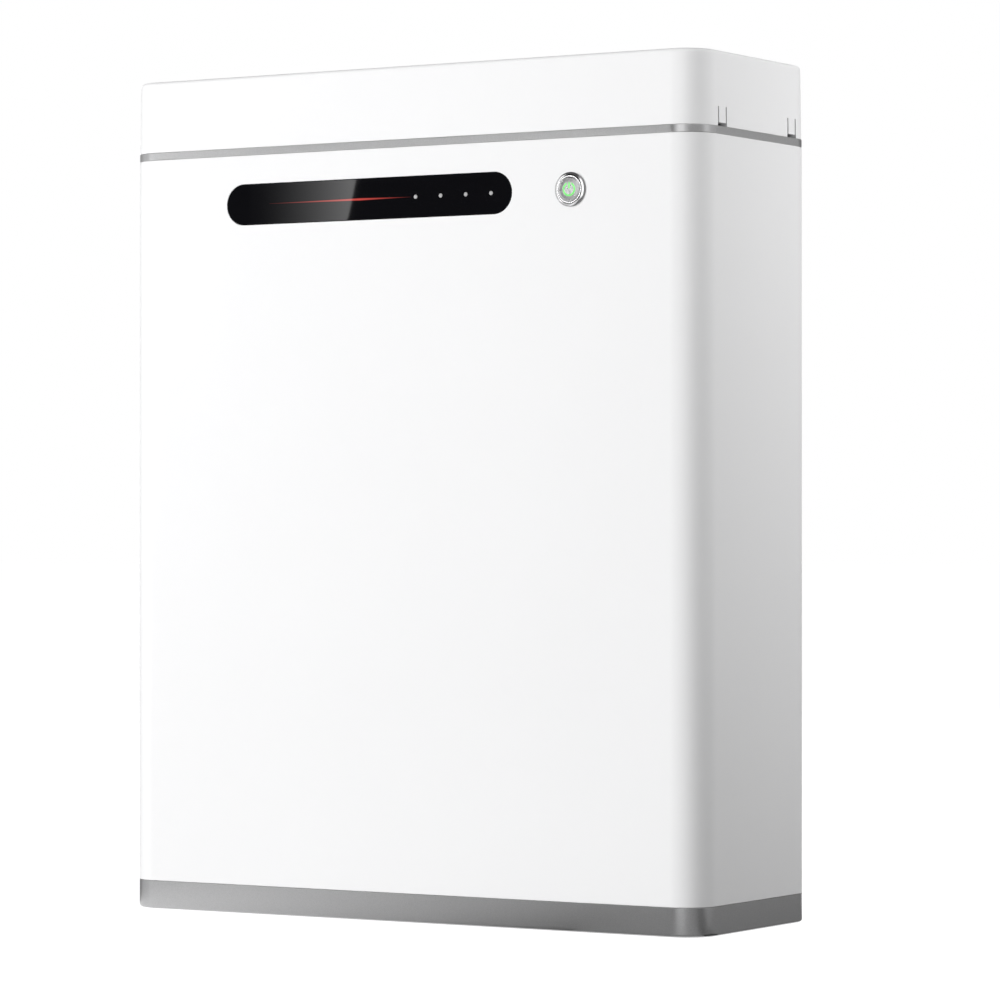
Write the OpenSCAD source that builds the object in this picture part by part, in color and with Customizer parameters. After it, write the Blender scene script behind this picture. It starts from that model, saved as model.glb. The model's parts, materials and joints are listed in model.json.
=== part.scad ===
// Wall battery unit: a slim white case on a grey metal base, with a lift-off lid over its terminals.
// Millimetres. X runs to the right, the front faces -Y, Z is up, and the base stands on Z = 0.

/* [Case] */
// Width of the case, side to side
body_w = 445; // [400:1:560]
// Depth of the case, front face to rear face
body_d = 154; // [152:1:180]
// Height from the floor to the top of the lid
body_h = 560; // [550:1:620]
// Radius of the four upright corners
corner_r = 22; // [17:1:30]
// Thickness of the folded sheet walls
wall_t = 1.5; // [1.2:0.1:2]
// Height of the grey metal base
base_h = 18.8; // [14:0.2:26]
// Height of the grey metal band under the lid
band_h = 5.1; // [4.9:0.1:8]
// Height of the lid above the band
lid_h = 48.2; // [44:0.2:60]

/* [Base and deck] */
// Wall and floor thickness of the cast base
base_wall = 3; // [2:0.5:5]
// Width of the inward flange at the top and bottom of the case
case_flange = 16; // [14:0.5:20]
// Thickness of the floor plate, the shelf over the cells and the terminal deck
plate_t = 2; // [1.5:0.1:2.5]
// Thickness of the foam gaskets
gasket_t = 1; // [0.8:0.1:1.2]

/* [Display window] */
// Length of the black window
window_len = 224; // [190:1:240]
// Height of the black window
window_h = 27.6; // [22:0.2:34]
// Distance of the window's middle from the case's middle, towards the right
window_x = -27.5; // [-35:0.5:-15]
// Distance from the top of the white case down to the middle of the window
window_drop = 33; // [29:0.5:45]
// Diameter of one charge dot
dot_d = 2.9; // [2:0.1:4]
// Distance from one charge dot to the next
dot_pitch = 19.3; // [14:0.1:22]
// Bare end of the window, left of the status line
mark_room = 34.5; // [25:0.5:60]
// Distance from the last charge dot to the right end of the window
dot_end = 16; // [14:0.5:30]
// Thickness of the red status line
line_h = 1.9; // [1.2:0.1:3]

/* [Power switch] */
// Distance of the switch from the case's middle
switch_x = 128.2; // [122:0.2:160]
// Diameter of the switch's threaded barrel
barrel_d = 19; // [18:0.5:20]
// Diameter of the switch's round bezel
bezel_d = 22.2; // [21.5:0.1:25]
// Height of the bezel above the front face
bezel_h = 1.9; // [1.2:0.1:2.2]
// Diameter of the push button
button_d = 15.8; // [14:0.1:16.4]
// Height of the push button above the front face
button_proud = 2.3; // [2.2:0.1:3.5]
// How far the button travels when pressed
button_travel = 2.2; // [1.5:0.1:3]

/* [Lid] */
// Wall thickness of the lid
lid_wall = 2.5; // [2:0.1:3]
// How far the lid's lower edge stands back from the case
lid_inset = 0.3; // [0.2:0.1:0.6]
// How far the lid's walls lean in by their top
lid_lean = 0.6; // [0:0.1:1.2]
// Radius of the lid's top edge
lid_edge_r = 3; // [2:0.5:5]
// Width of one snap tongue
tongue_w = 9.2; // [6:0.2:12]
// Height of the slots beside a tongue
tongue_h = 12.5; // [10:0.5:16]
// Distance between the two tongues on a side
tongue_spread = 94; // [70:1:98]
// Length of the cable outlet in the lid's rear wall
outlet_len = 110; // [80:1:140]
// Height of the cable outlet
outlet_h = 24; // [20:1:26]

/* [Battery cells] */
// Depth of one cell, from its back to its terminal face
cell_d = 118.5; // [100:0.5:119]
// Height of one cell
cell_h = 160; // [140:1:162]
// Thickness of the sheet between two cells
spacer_t = 0.8; // [0.4:0.1:0.8]
// Thickness of the pads under, between and over the rows
pad_t = 3; // [2:0.5:4]
// Thickness of an end plate
end_plate_t = 6; // [4:0.5:8]
// Width of the foot at each end of the battery module
foot_w = 11.3; // [10:0.1:14]

/* [Wiring bay] */
// Distance of the circuit breaker's middle from the left end of the battery module
breaker_edge = 52.3; // [48:0.1:60]
// Width of the two-pole circuit breaker
breaker_w = 54; // [50:1:58]
// Diameter of the two power studs
stud_d = 8; // [6:1:10]
// Distance between the two power studs
stud_pitch = 60; // [50:1:70]
// Free length of each power stud above its nut
stud_free = 17; // [12:1:20]
// Diameter of the power cables
cable_d = 7; // [6:0.5:8]

/* [Wall mounting] */
// Gap between the rear face of the case and the wall
hang_gap = 12; // [11:0.5:18]
// Width of the wall bracket
bracket_w = 340; // [320:1:370]
// Distance between the left and right wall holes
hole_pitch_x = 310; // [300:1:320]
// Distance between the upper and lower wall holes
hole_pitch_z = 60; // [50:1:70]
// Diameter of the wall holes
hole_d = 9; // [6:0.5:11]
// Thickness of the rail and bracket steel
hook_t = 2; // [1.5:0.1:2.5]
// Height of the hook that the unit hangs by
hook_h = 14; // [10:1:16]

/* [Hidden] */
$fn = 48;

// Colours
white = "#f3f3f2";
metal_grey = "#98989a";
zinc = "#b9bcc0";
steel = "#c9cbce";
black = "#141416";
rubber_black = "#26272a";
copper = "#c87a4a";
board_green = "#1f6b3c";
brass = "#c9a24a";
cell_blue = "#2f5fa8";
red = "#c0322b";

// Running clearance of parts that slide or turn, and looser gap of parts that are only placed
running = 0.05;
gap = 0.3;
// Small overlap that makes cuts run clean through a face
eps = 1;

// Levels of the case, from the floor up
front = -body_d / 2;
rear = body_d / 2;
shell_z0 = base_h;
band_z1 = body_h - lid_h;
shell_z1 = band_z1 - band_h;
inner_front = front + wall_t;
// The middle of the overall depth lies between the button's face and the wall
case_y = (button_proud - hang_gap) / 2;

// Rear opening and its joggled seat
rear_margin = 32.5;
rear_edge = 16;
seat_w = 14;
seat_lap = 4;
panel_gap = 0.5;
open_w = body_w - 2 * rear_margin;
open_z0 = shell_z0 + rear_edge;
open_z1 = shell_z1 - rear_edge;
open_h = open_z1 - open_z0;
open_mid = (open_z0 + open_z1) / 2;
seat_y = rear - wall_t - gasket_t;

// M4 screws of the case and the battery module
m4_r = 2;
m4_head_r = 3.6;
m4_head_h = 2.4;
m4_clear = 0.15;
thread_end = 3;
tap_deep = 12;
panel_screw_inset = 7;
panel_rows = 5;

// Base
base_screw_inset = 9;
base_column_inset = 38;
base_boss_r = 7;
base_screw_r = 2.5;
base_head_r = 4.3;
base_head_h = 4;
base_sink = 6;
base_rib_t = 2.5;
collar_h = 3;

// Band, gasket, deck and the lid's locating lip, by distance in from the outer face
band_wall = 3.2;
ledge_w = 14.5;
ledge_t = 1.5;
lip_in = 3.5;
lip_t = 1.6;
lip_up = 4.2;
deck_inset = 6.2;
deck_screw_inset = 10.5;
ledge_top = shell_z1 + ledge_t;
deck_z = ledge_top + gasket_t;
deck_top = deck_z + plate_t;

// Snap tongues and the catches behind them
slot_w = 1;
tongue_gap = 2.2;
barb_w = 6;
barb_z = 4;
barb_h = 2;
catch_t = 1.2;
catch_foot = 14;
catch_w = 12;
catch_h = 12;

// Battery block
floor_z = shell_z0 + wall_t;
floor_top = floor_z + plate_t;
rows = 2;
cell_count = 8;
foot_end = body_w / 2 - wall_t - 1.2;
module_half = foot_end - foot_w;
block_half = module_half - end_plate_t;
cell_t = (2 * block_half + spacer_t) / cell_count - spacer_t;
back_room = 17;
cell_back = rear - back_room;
cell_front = cell_back - cell_d;
cell_mid_y = (cell_front + cell_back) / 2;
col_pitch = cell_t + spacer_t;
block_top = row_z(rows - 1) + cell_h;
shelf_z = block_top + pad_t;
shelf_top = shelf_z + plate_t;
foot_t = 4;
breaker_x = module_half - breaker_edge;
screw_spread_y = 45;
terminal_up = 52;
terminal_r = 9;
terminal_t = 3;
link_t = 2;
link_w = 20;
bar_t = 3;
bar_w = 12;
bar_gap = 1;
link_front = cell_front - terminal_t - link_t;
bar_front = link_front - bar_gap - bar_t;
bar_y = bar_front + bar_t / 2;
cover_gap = 1;
cover_t = 2;
cover_back = bar_front - cover_gap;
cover_front = cover_back - cover_t;

// Battery management board
board_t = 1.6;
standoff_h = 8;
standoff_r = 3.5;
board_x0 = 96.5 - breaker_x;
board_x1 = module_half - 13.8;
board_half_y = cell_d / 2 - 9.25;
board_z = shelf_top + standoff_h;
board_top = board_z + board_t;
mosfet_size = 10;
mosfet_h = 4.5;
mosfet_count = 10;
mosfet_x0 = board_x0 + 40;
mosfet_pitch = (board_x1 - 35 - mosfet_x0) / (mosfet_count - 1);
mosfet_rows = [10, 34];
block_size = 16;
block_h = 12;
plug_w = 20;
plug_d = 8;
plug_h = 8;
fin_h = 14;
fin_t = 1.6;
sink_base_h = 4;

// Circuit breaker
breaker_l = 82;
breaker_base_h = 44;
nose_l = 45;
nose_h = 26;
nose_proud = 3;
pole_x = breaker_w / 4;
nose_top = deck_top + nose_proud;
breaker_z = nose_top - nose_h - breaker_base_h;
clamp_z = breaker_z + 20;
clamp_depth = 12;
clamp_room = 1.2;
pivot_z = nose_top - 6;
hub_r = 8;
hub_w = 24;
toggle_tilt = 40;
toggle_reach = 20;
toggle_t = 6;
toggle_pin_r = 2;
toggle_pin_l = 3;
stand_foot = 12;
stand_l = 60;

// Power studs and the earth stud
stud_x = -40;
stud_y = 20;
insulator_w = 28;
insulator_h = 8;
shoulder = 0.2;
shank_r = stud_d / 2 + shoulder;
bushing_r = stud_d / 2 + 5;
bushing_l = 4;
nut_h = 0.8 * stud_d;
stud_low = 22;
earth_x = 50;
earth_r = 3;
earth_nut_h = 5;
earth_free = 16;

// Communication ports
port_x = 125;
port_count = 4;
port_pitch = 17;
port_w = 15.6;
port_d = 15;
port_proud = 5;
socket_w = 11.8;
socket_d = 7;
socket_deep = 13;
comms_drop = 12;
comms_w = 84;
comms_d = 38;
comms_post_r = 3;

// Display stack, from the front face back
window_z = shell_z1 - window_drop;
window_gap = 0.2;
window_rim = 5;
window_t = 1.5;
window_gasket_t = 0.8;
rim_front = inner_front + window_gasket_t;
rim_back = rim_front + window_t;
bracket_depth = 5;
display_board_y = rim_back + bracket_depth;
bracket_margin = 11;
weld_stud_r = 1.5;
dots_x = window_x + window_len / 2 - dot_end - 1.5 * dot_pitch;
line_x0 = window_x - window_len / 2 + mark_room;
line_x1 = dots_x - 1.5 * dot_pitch - dot_d - 0.7;
line_len = line_x1 - line_x0;
line_x = (line_x0 + line_x1) / 2;
led_size = 3;
led_t = 1;
light_back = display_board_y - led_t - gap;

// Switch
barrel_l = 30;
button_l = 12;
button_lip = 4;
collar_r = (button_d + barrel_d) / 4;
nut_w = 22;
switch_nut_h = 4;
symbol_r = 4;
symbol_stroke = 1.2;
symbol_deep = 0.5;
symbol_bar = 6;
spring_r = 4;
spring_wire = 0.5;
spring_turns = 5;
spring_seat = button_proud - button_l;
spring_l = 2 * spring_wire * (spring_turns + 1) + 3.5 * button_travel;

// Rail and bracket
rail_drop = 70;
rail_z = shell_z1 - rail_drop;
rail_w = 280;
rail_up = 17;
rail_down = 62;
rail_end = 30;
rail_low = 50;
rail_screw_r = 3;
rail_head_r = 5.2;
rail_head_h = 3.3;
hook_out = 4;
lip_clear = 1;
lip_w = rail_w - 20;
bracket_lip_z = rail_z - hook_t - hook_h - lip_clear - hook_t;
upper_hole_z = rail_z + 14;
bracket_edge = 12;
bracket_plate_y = rear + hang_gap - hook_t;
spacer_w = 40;
spacer_h = 20;

// Cable routes, chosen by hand
display_route = [
    [0, display_board_y + board_t + gap, window_z - 8], [0, -60, window_z - 8], [0, -53, window_z - 18],
    [6, -52, 430], [14, -54, 400], [20, -61, board_top + 17], [20, -59, board_top + plug_h / 2 + 1],
    [20, -54, board_top + plug_h / 2], [20, -board_half_y - gap, board_top + plug_h / 2]
];

function row_z(r) = floor_top + pad_t + r * (cell_h + pad_t);
function col_x(c) = (c - (cell_count - 1) / 2) * col_pitch;
// A terminal's height in row r: up is 1 for the upper one and -1 for the lower one
function terminal_z(r, up) = row_z(r) + cell_h / 2 + up * terminal_up;
// Which line of terminals link k of row r joins, so that the cells are in series
function link_up(r, k) = (k + r) % 2 == 1 ? 1 : -1;

function spread(n, half) = [for (i = [0 : n - 1]) -half + 2 * half * i / (n - 1)];
function panel_points() =
    let (px = open_w / 2 - panel_screw_inset, pz = open_h / 2 - panel_screw_inset)
    concat(
        [for (x = [-px, px], z = spread(panel_rows, pz)) [x, open_mid + z]],
        [for (x = [-px / 2, 0, px / 2], z = [-pz, pz]) [x, open_mid + z]]
    );
function deck_points() =
    let (px = body_w / 2 - deck_screw_inset, py = body_d / 2 - deck_screw_inset)
    concat(
        [for (x = spread(5, px - corner_r - 10), y = [-py, py]) [x, y]],
        [for (x = [-px, px]) [x, 0]]
    );
function base_columns() = spread(4, body_w / 2 - base_column_inset);
function base_points() = [for (x = base_columns(), y = [-1, 1]) [x, y * (body_d / 2 - base_screw_inset)]];
function foot_points() =
    [for (s = [-1, 1], y = [-1, 0, 1]) [s * (module_half + foot_w / 2), cell_mid_y + y * screw_spread_y]];
function shelf_points() =
    [for (s = [-1, 1], y = [-1, 0, 1])
        [s * (block_half + end_plate_t / 2), cell_mid_y + y * screw_spread_y]];
function cover_points() =
    [for (s = [-1, 1], z = [-1, 0, 1])
        [s * (block_half + end_plate_t / 2), (floor_top + block_top) / 2 + z * (block_top - floor_top) / 3]];
function stand_points() =
    [for (s = [-1, 1], y = [-20, 20]) [-breaker_x + s * (breaker_w / 2 + stand_foot / 2), y]];
function rail_points() =
    [for (x = spread(4, rail_w / 2 - rail_end), z = [rail_up / 2, -rail_low]) [x, rail_z + z]];
function standoff_points() =
    [for (x = spread(3, (board_x1 - board_x0) / 2 - 6), y = [-1, 1])
        [x + (board_x0 + board_x1) / 2, y * (board_half_y - 6)]];
function stud_points() = [for (s = [-1, 1]) [stud_x + s * stud_pitch / 2, stud_y]];
function comms_points() =
    [for (x = [-1, 1], y = [-1, 1]) [port_x + x * (comms_w / 2 - 4), y * (comms_d / 2 - 4)]];

// Smooth curve through a route's points, straight for half of its first and last stretch
function curve_at(a, b, c, d, t) =
    b + t * (c - a) / 2 + t * t * (a - 2.5 * b + 2 * c - d / 2) + t * t * t * (1.5 * (b - c) + (d - a) / 2);
function straight_ends(p) =
    let (n = len(p) - 1)
    concat([p[0], (p[0] + p[1]) / 2], [for (i = [1 : n - 1]) p[i]], [(p[n - 1] + p[n]) / 2, p[n]]);
function smooth(p, n) = [
    for (i = [0 : len(p) - 2], k = [0 : n - 1])
        curve_at(p[max(i - 1, 0)], p[i], p[i + 1], p[min(i + 2, len(p) - 1)], k / n),
    p[len(p) - 1]
];
function unit(v) = v / norm(v);

// ---- Shared shapes ----

module placed() {
    translate([0, case_y, 0]) children();
}

module rounded_rect(w, d, r) {
    square([w - 2 * r, d], center = true);
    square([w, d - 2 * r], center = true);
    for (x = [-1, 1], y = [-1, 1])
        translate([x * (w / 2 - r), y * (d / 2 - r)]) circle(r);
}

// The case's outline, moved in by a distance
module outline(inset) {
    rounded_rect(body_w - 2 * inset, body_d - 2 * inset, max(corner_r - inset, 1));
}

// The band of the outline between two distances in from the outer face
module ring(inset, width) {
    difference() {
        outline(inset);
        outline(inset + width);
    }
}

module stadium(l, h) {
    square([l - h, h], center = true);
    for (s = [-1, 1]) translate([s * (l - h) / 2, 0]) circle(h / 2);
}

// A profile drawn in X and Z, solid from y0 to y1
module slab_y(y0, y1) {
    translate([0, y1, 0]) rotate([90, 0, 0]) linear_extrude(y1 - y0) children();
}

module box(x0, x1, y0, y1, z0, z1) {
    translate([x0, y0, z0]) cube([x1 - x0, y1 - y0, z1 - z0]);
}

// Holes through a plate: down through one that lies at z, and back through one that stands at y
module drill_down(points, z, h, r) {
    for (p = points) translate([p.x, p.y, z - eps]) cylinder(r = r, h = h + 2 * eps);
}

module drill_back(points, y0, y1, r) {
    slab_y(y0 - eps, y1 + eps) for (p = points) translate(p) circle(r);
}

// A round-headed screw: its head stands on z = 0 and its shank runs down
module screw(r, head_r, head_h, length) {
    cylinder(r = head_r, h = head_h);
    translate([0, 0, -length]) cylinder(r = r, h = length);
}

module m4_screw(length) {
    screw(m4_r, m4_head_r, m4_head_h, length);
}

module nut(width, h, hole_r) {
    difference() {
        rotate([0, 0, 30]) cylinder(r = width / sqrt(3), h = h, $fn = 6);
        translate([0, 0, -eps]) cylinder(r = hole_r, h = h + 2 * eps);
    }
}

// A round cable through a route; side is a direction that the route never runs along
module cable(route, r, side, steps = 4, sides = 8) {
    p = smooth(straight_ends(route), steps);
    n = len(p);
    rings = [
        for (i = [0 : n - 1])
            let (
                t = unit(p[min(i + 1, n - 1)] - p[max(i - 1, 0)]),
                u = unit(cross(t, side)),
                v = cross(t, u)
            )
            for (k = [0 : sides - 1]) p[i] + r * (cos(360 * k / sides) * u + sin(360 * k / sides) * v)
    ];
    polyhedron(
        points = rings,
        faces = concat(
            [[for (k = [0 : sides - 1]) k]],
            [
                for (i = [0 : n - 2], k = [0 : sides - 1])
                    let (a = i * sides + k, b = i * sides + (k + 1) % sides)
                    [a, a + sides, b + sides, b]
            ],
            [[for (k = [sides - 1 : -1 : 0]) (n - 1) * sides + k]]
        )
    );
}

// ---- Case ----

module body_shell() {
    color(white) placed() difference() {
        union() {
            translate([0, 0, shell_z0]) linear_extrude(shell_z1 - shell_z0) ring(0, wall_t);
            translate([0, 0, shell_z0]) linear_extrude(wall_t) ring(0, case_flange);
            translate([0, 0, shell_z1 - wall_t]) linear_extrude(wall_t) ring(0, case_flange);
            rear_seat();
            display_studs();
        }
        slab_y(rear - wall_t - eps, rear + eps)
            translate([0, open_mid]) square([open_w, open_h], center = true);
        slab_y(front - eps, inner_front + gap)
            translate([window_x, window_z]) stadium(window_len, window_h);
        slab_y(front - eps, inner_front + eps)
            translate([switch_x, window_z]) circle(barrel_d / 2 + running);
        drill_back(panel_points(), seat_y - wall_t, rear, m4_r + m4_clear);
        drill_down(base_points(), shell_z0, wall_t, base_screw_r + m4_clear);
        drill_down(foot_points(), shell_z0, wall_t, m4_r + m4_clear);
        drill_down(deck_points(), shell_z1 - wall_t, wall_t, m4_r + m4_clear);
    }
}

// The frame that steps in round the rear opening and carries the back panel
module rear_seat() {
    slab_y(seat_y - wall_t, rear - wall_t / 2) difference() {
        translate([0, open_mid]) square([open_w + 2 * seat_lap, open_h + 2 * seat_lap], center = true);
        translate([0, open_mid]) square([open_w, open_h], center = true);
    }
    slab_y(seat_y - wall_t, seat_y) difference() {
        translate([0, open_mid]) square([open_w + eps, open_h + eps], center = true);
        translate([0, open_mid]) square([open_w - 2 * seat_w, open_h - 2 * seat_w], center = true);
    }
}

// Studs welded inside the front wall that hold the display
function display_stud_points() =
    [for (s = [-1, 1]) [window_x + s * (window_len / 2 + window_rim + bracket_margin / 2), window_z]];

module display_studs() {
    slab_y(front + wall_t / 2, display_board_y + 3)
        for (p = display_stud_points()) translate(p) circle(weld_stud_r);
}

module back_panel() {
    color(white) placed() difference() {
        union() {
            slab_y(rear - wall_t, rear)
                translate([0, open_mid])
                    square([open_w - 2 * panel_gap, open_h - 2 * panel_gap], center = true);
            for (p = rail_points())
                slab_y(rear - wall_t - collar_h, rear - wall_t / 2) translate(p) circle(rail_screw_r + 2);
        }
        drill_back(panel_points(), rear - wall_t, rear, m4_r + m4_clear);
        drill_back(rail_points(), rear - wall_t - collar_h, rear, rail_screw_r + running);
    }
}

module panel_gasket() {
    color(rubber_black) placed() slab_y(seat_y, rear - wall_t) difference() {
        translate([0, open_mid])
            square([open_w - 2 * panel_gap, open_h - 2 * panel_gap], center = true);
        translate([0, open_mid]) square([open_w - 2 * seat_w, open_h - 2 * seat_w], center = true);
        for (p = panel_points()) translate(p) circle(m4_r + m4_clear);
    }
}

module case_screws() {
    color(zinc) placed() {
        for (p = panel_points())
            translate([p.x, rear, p.y]) rotate([-90, 0, 0]) m4_screw(2 * wall_t + gasket_t + thread_end);
        for (p = deck_points())
            translate([p.x, p.y, deck_top])
                m4_screw(plate_t + gasket_t + ledge_t + wall_t + thread_end);
    }
}

module base_tray() {
    color(metal_grey) placed() difference() {
        union() {
            linear_extrude(base_wall) outline(0);
            linear_extrude(base_h) ring(0, base_wall);
            for (p = base_points()) translate(p) cylinder(r = base_boss_r, h = base_h);
            for (x = base_columns())
                box(x - base_rib_t / 2, x + base_rib_t / 2, front + base_wall / 2, rear - base_wall / 2, 0,
                    base_h - 2);
            box(-body_w / 2 + base_wall / 2, body_w / 2 - base_wall / 2, -base_rib_t / 2, base_rib_t / 2, 0,
                base_h - 2);
        }
        drill_down(base_points(), 0, base_h, base_screw_r + m4_clear);
        drill_down(base_points(), -eps, base_sink, base_head_r + gap);
    }
}

module base_screws() {
    color(zinc) placed() for (p = base_points())
        translate([p.x, p.y, base_sink]) mirror([0, 0, 1])
            screw(base_screw_r, base_head_r, base_head_h, floor_top + collar_h - base_sink);
}

module chassis_floor() {
    color(zinc) placed() difference() {
        union() {
            translate([0, 0, floor_z]) linear_extrude(plate_t) outline(wall_t + 1);
            for (p = base_points())
                translate([p.x, p.y, floor_z]) cylinder(r = base_screw_r + 1.5, h = plate_t + collar_h);
        }
        drill_down(base_points(), floor_z, plate_t + collar_h, base_screw_r + running);
        drill_down(foot_points(), floor_z, plate_t, m4_r + running);
    }
}

module trim_band() {
    color(metal_grey) placed() difference() {
        union() {
            translate([0, 0, shell_z1]) linear_extrude(band_h) ring(0, band_wall);
            translate([0, 0, shell_z1]) linear_extrude(ledge_t) ring(0, ledge_w);
        }
        drill_down(deck_points(), shell_z1, ledge_t, m4_r + m4_clear);
    }
}

module deck_gasket() {
    color(rubber_black) placed() difference() {
        translate([0, 0, ledge_top]) linear_extrude(gasket_t) ring(deck_inset, ledge_w - deck_inset);
        drill_down(deck_points(), ledge_top, gasket_t, m4_r + m4_clear);
    }
}

module terminal_deck() {
    color(zinc) placed() difference() {
        union() {
            translate([0, 0, deck_z]) linear_extrude(plate_t) outline(deck_inset);
            for (p = comms_points())
                translate([p.x, p.y, deck_z - comms_drop]) cylinder(r = comms_post_r, h = comms_drop + eps);
        }
        drill_down(deck_points(), deck_z, plate_t, m4_r + m4_clear);
        box(-breaker_x - breaker_w / 2 - gap, -breaker_x + breaker_w / 2 + gap, -nose_l / 2 - gap,
            nose_l / 2 + gap, deck_z - eps, deck_top + eps);
        box(port_x - port_count * port_pitch / 2, port_x + port_count * port_pitch / 2,
            -port_d / 2 - gap, port_d / 2 + gap, deck_z - eps, deck_top + eps);
        drill_down(stud_points(), deck_z, plate_t, bushing_r + gap);
        drill_down([[earth_x, stud_y]], deck_z, plate_t, earth_r + 2 * shoulder);
    }
}

module lid_catches() {
    color(steel) placed() for (s = [-1, 1], y = [-1, 1])
        scale_x(s) translate([body_w / 2 - deck_inset - gap, y * tongue_spread / 2, deck_top]) {
            box(-catch_foot, 0, -catch_w / 2, catch_w / 2, 0, catch_t);
            box(-catch_t, 0, -catch_w / 2, catch_w / 2, 0, catch_h);
        }
}

// Draws its children on the right side, or mirrored on the left
module scale_x(s) {
    if (s > 0) children();
    else mirror([1, 0, 0]) children();
}

// ---- Battery module ----

module battery_cells() {
    color(cell_blue) placed() for (r = [0 : rows - 1], c = [0 : cell_count - 1])
        box(col_x(c) - cell_t / 2, col_x(c) + cell_t / 2, cell_front, cell_back, row_z(r), row_z(r) + cell_h);
}

module cell_terminals() {
    color(steel) placed() for (r = [0 : rows - 1], c = [0 : cell_count - 1], up = [-1, 1])
        slab_y(cell_front - terminal_t, cell_front)
            translate([col_x(c), terminal_z(r, up)]) circle(terminal_r);
}

module cell_busbars() {
    color(copper) placed() slab_y(link_front, cell_front - terminal_t) {
        for (r = [0 : rows - 1], k = [0 : cell_count - 2])
            translate([(col_x(k) + col_x(k + 1)) / 2, terminal_z(r, link_up(r, k))])
                stadium(col_pitch + link_w, link_w);
        translate([col_x(cell_count - 1), (terminal_z(0, 1) + terminal_z(1, -1)) / 2])
            rotate(90) stadium(terminal_z(1, -1) - terminal_z(0, 1) + link_w, link_w);
    }
}

module cell_spacers() {
    color("#e8e4d8") placed() for (r = [0 : rows - 1], k = [0 : cell_count - 2])
        box(col_x(k) + cell_t / 2, col_x(k + 1) - cell_t / 2, cell_front + 2, cell_back - 2, row_z(r),
            row_z(r) + cell_h);
}

module cell_pads() {
    color("#4a4d52") placed() for (r = [0 : rows])
        box(-block_half, block_half, cell_front, cell_back, row_z(r) - pad_t, row_z(r));
}

module end_plates() {
    color(steel) placed() difference() {
        for (s = [-1, 1]) scale_x(s) {
            box(block_half, module_half, cell_front, cell_back, floor_top, shelf_z);
            box(block_half, module_half + foot_w, cell_front, cell_back, floor_top, floor_top + foot_t);
        }
        drill_down(foot_points(), floor_top, foot_t, m4_r + m4_clear);
        drill_down(shelf_points(), shelf_z - tap_deep, tap_deep, m4_r + running);
        drill_back(cover_points(), cell_front, cell_front + tap_deep, m4_r + running);
    }
}

module module_screws() {
    color(zinc) placed() {
        for (p = foot_points())
            translate([p.x, p.y, floor_top + foot_t]) m4_screw(foot_t + plate_t + wall_t + 1);
        for (p = shelf_points()) translate([p.x, p.y, shelf_top]) m4_screw(plate_t + tap_deep - 1);
        for (p = cover_points())
            translate([p.x, cover_front, p.y]) rotate([90, 0, 0])
                m4_screw(cell_front - cover_front + tap_deep - 1);
        for (p = stand_points())
            translate([p.x, p.y, shelf_top + plate_t]) m4_screw(2 * plate_t - gap);
    }
}

module busbar_cover() {
    color("#dfe3e8") placed() difference() {
        union() {
            box(-module_half, module_half, cover_front, cover_back, floor_top + 5, block_top);
            for (s = [-1, 1]) scale_x(s)
                box(block_half, module_half, cover_back - eps, cell_front, floor_top + 5, block_top);
        }
        drill_back(cover_points(), cover_front, cell_front, m4_r + m4_clear);
    }
}

// The pack's two ends: flat bars that rise in front of the links, one to the breaker, one to the board
positive_bar_x = -breaker_x - pole_x;
negative_bar_x = positive_bar_x - bar_w - 4;
negative_bar_top = shelf_top + 26;

module pack_busbars() {
    color(copper) placed() {
        riser(positive_bar_x, terminal_z(1, -1), clamp_z + bar_t / 2);
        box(positive_bar_x - bar_w / 2, positive_bar_x + bar_w / 2, bar_front, -breaker_l / 2 + clamp_depth,
            clamp_z - bar_t / 2, clamp_z + bar_t / 2);
        riser(negative_bar_x, terminal_z(0, 1), negative_bar_top);
    }
}

// A bar that stands at x, with a foot that reaches the first cell's terminal at low_z
module riser(x, low_z, top_z) {
    reach = [min(x, col_x(0)) - bar_w / 2, max(x, col_x(0)) + bar_w / 2];
    box(x - bar_w / 2, x + bar_w / 2, bar_front, bar_front + bar_t, low_z - bar_w / 2, top_z);
    box(reach[0], reach[1], bar_front, cell_front - terminal_t, low_z - bar_w / 2, low_z + bar_w / 2);
}

// ---- Battery management ----

module bms_shelf() {
    color(zinc) placed() difference() {
        box(-module_half, module_half, cell_front, cell_back, shelf_z, shelf_top);
        drill_down(shelf_points(), shelf_z, plate_t, m4_r + m4_clear);
        drill_down(stand_points(), shelf_z, plate_t, m4_r + running);
    }
}

module bms_board() {
    color(board_green) placed() box(board_x0, board_x1, -board_half_y, board_half_y, board_z, board_top);
}

module bms_standoffs() {
    color(brass) placed() for (p = standoff_points())
        translate([p.x, p.y, shelf_top]) cylinder(r = standoff_r, h = standoff_h);
}

module bms_mosfets() {
    color(black) placed() for (y = mosfet_rows, i = [0 : mosfet_count - 1])
        translate([mosfet_x0 + i * mosfet_pitch - mosfet_size / 2, y - mosfet_size / 2, board_top])
            cube([mosfet_size, mosfet_size, mosfet_h]);
}

module bms_heatsink() {
    sink_x0 = mosfet_x0 - mosfet_size;
    sink_x1 = mosfet_x0 + (mosfet_count - 1) * mosfet_pitch + mosfet_size;
    sink_y0 = mosfet_rows[0] - mosfet_size / 2;
    sink_y1 = mosfet_rows[1] + mosfet_size / 2;
    sink_z = board_top + mosfet_h;
    color(steel) placed() {
        box(sink_x0, sink_x1, sink_y0, sink_y1, sink_z, sink_z + sink_base_h);
        for (y = spread(8, (sink_y1 - sink_y0 - fin_t) / 2))
            translate([0, (sink_y0 + sink_y1) / 2, 0])
                box(sink_x0, sink_x1, y - fin_t / 2, y + fin_t / 2, sink_z + sink_base_h / 2,
                    sink_z + sink_base_h + fin_h);
    }
}

// Two power blocks on the left edge of the board, and two plugs on its front edge
block_rows = [-35, -10];
harness_x = col_x(cell_count - 2) + col_pitch / 2;
plug_columns = [20, harness_x];

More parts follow.
